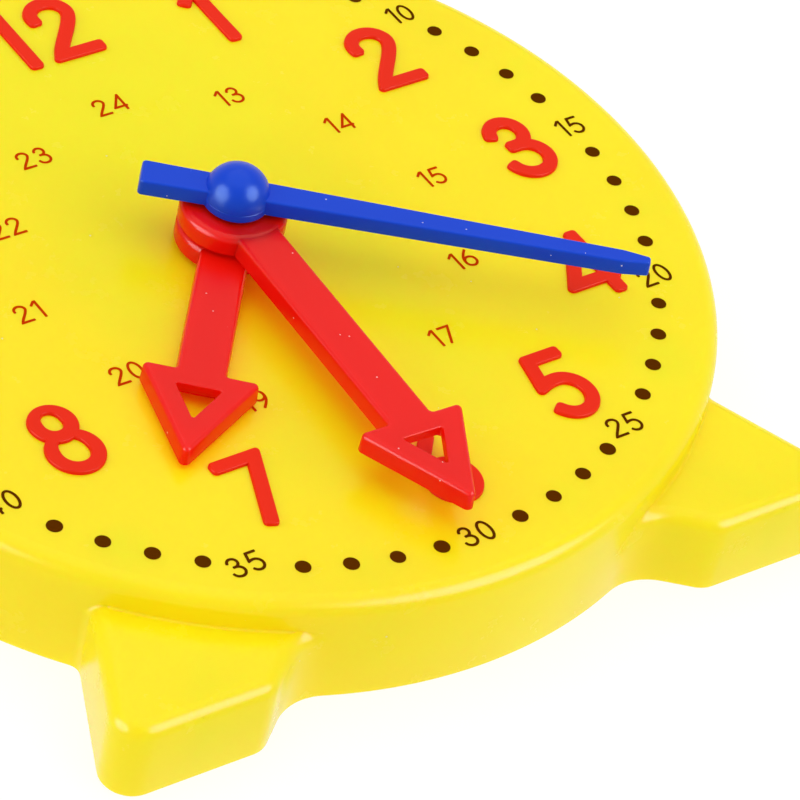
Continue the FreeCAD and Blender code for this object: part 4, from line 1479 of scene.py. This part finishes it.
# Each lamp: its place, width and power, and whether it lights the pieces or is only mirrored in them.
LAMPS = {
    "Left Window": ((-0.85, 0.08, 0.27), 0.86, 17.5, False),
    "Right Window": ((0.38, -0.66, 0.49), 0.72, 13.0, False),
    "Left Softbox": ((-0.86, 0.2, 0.4), 0.7, 1.9, True),
    "Right Softbox": ((0.37, -0.7, 0.55), 0.9, 1.9, True),
    "Top Softbox": ((0.04, 0.16, 1.1), 1.6, 6.3, True),
}
LAMP_TARGET = Vector((0.0, 0.0, 0.012))


def softbox(name, spot, size, power, lights):
    lamp = bpy.data.lights.new(name, "AREA")
    lamp.shape = "DISK"
    lamp.size = size
    lamp.energy = power
    holder = linked(name, lamp)
    holder.visible_diffuse = lights
    holder.location = spot
    holder.rotation_euler = (LAMP_TARGET - Vector(spot)).to_track_quat("-Z", "Y").to_euler()


class CLOCK_OT_studio(bpy.types.Operator):
    """White studio with a floor, softboxes and a camera"""

    bl_idname = "clock.studio"
    bl_label = "Studio"

    def execute(self, context):
        studio = context.scene.clock_studio
        mesh = bmesh.new()
        bmesh.ops.create_grid(mesh, x_segments=4, y_segments=4, size=FLOOR_REACH)
        floor = new_piece("Floor", mesh, floor_finish(studio.floor))
        surround(studio.world)
        for name, lamp in LAMPS.items():
            softbox(name, *lamp)

        aim = Vector(studio.aim)
        spot = Vector(studio.camera)
        lens = bpy.data.cameras.new("Camera")
        lens.lens = studio.lens
        lens.sensor_width = 36.0
        lens.clip_start = 0.01
        camera = linked("Camera", lens)
        look = (aim - spot).to_track_quat("-Z", "Y").to_matrix().to_4x4()
        camera.matrix_world = Matrix.Translation(spot) @ look @ Matrix.Rotation(studio.roll, 4, "Z")
        context.scene.camera = camera
        context.scene.view_settings.view_transform = "Standard"
        return {"FINISHED"}


class CLOCK_PT_panel(bpy.types.Panel):
    """Buttons for the clock's pieces, in the order in which they are made"""

    bl_idname = "CLOCK_PT_panel"
    bl_label = "Teaching Clock"
    bl_space_type = "VIEW_3D"
    bl_region_type = "UI"
    bl_category = "Clock"

    def draw(self, context):
        for operator in OPERATORS:
            self.layout.operator(operator.bl_idname)


SETTINGS = {
    "clock_body": ClockBodySettings,
    "clock_marks": ClockMarkSettings,
    "clock_hands": ClockHandSettings,
    "clock_back": ClockBackSettings,
    "clock_studio": ClockStudioSettings,
}
OPERATORS = (
    CLOCK_OT_body,
    CLOCK_OT_numerals,
    CLOCK_OT_printed_marks,
    CLOCK_OT_red_hands,
    CLOCK_OT_second_hand,
    CLOCK_OT_back,
    CLOCK_OT_gear_train,
    CLOCK_OT_studio,
)


def register():
    for group in SETTINGS.values():
        bpy.utils.register_class(group)
    for name, group in SETTINGS.items():
        setattr(bpy.types.Scene, name, PointerProperty(type=group))
    for part in OPERATORS + (CLOCK_PT_panel,):
        bpy.utils.register_class(part)


def unregister():
    for part in reversed(OPERATORS + (CLOCK_PT_panel,)):
        bpy.utils.unregister_class(part)
    for name in SETTINGS:
        delattr(bpy.types.Scene, name)
    for group in SETTINGS.values():
        bpy.utils.unregister_class(group)


def main():
    register()
    for operator in OPERATORS:
        family, action = operator.bl_idname.split(".")
        getattr(getattr(bpy.ops, family), action)()


if __name__ == "__main__":
    main()
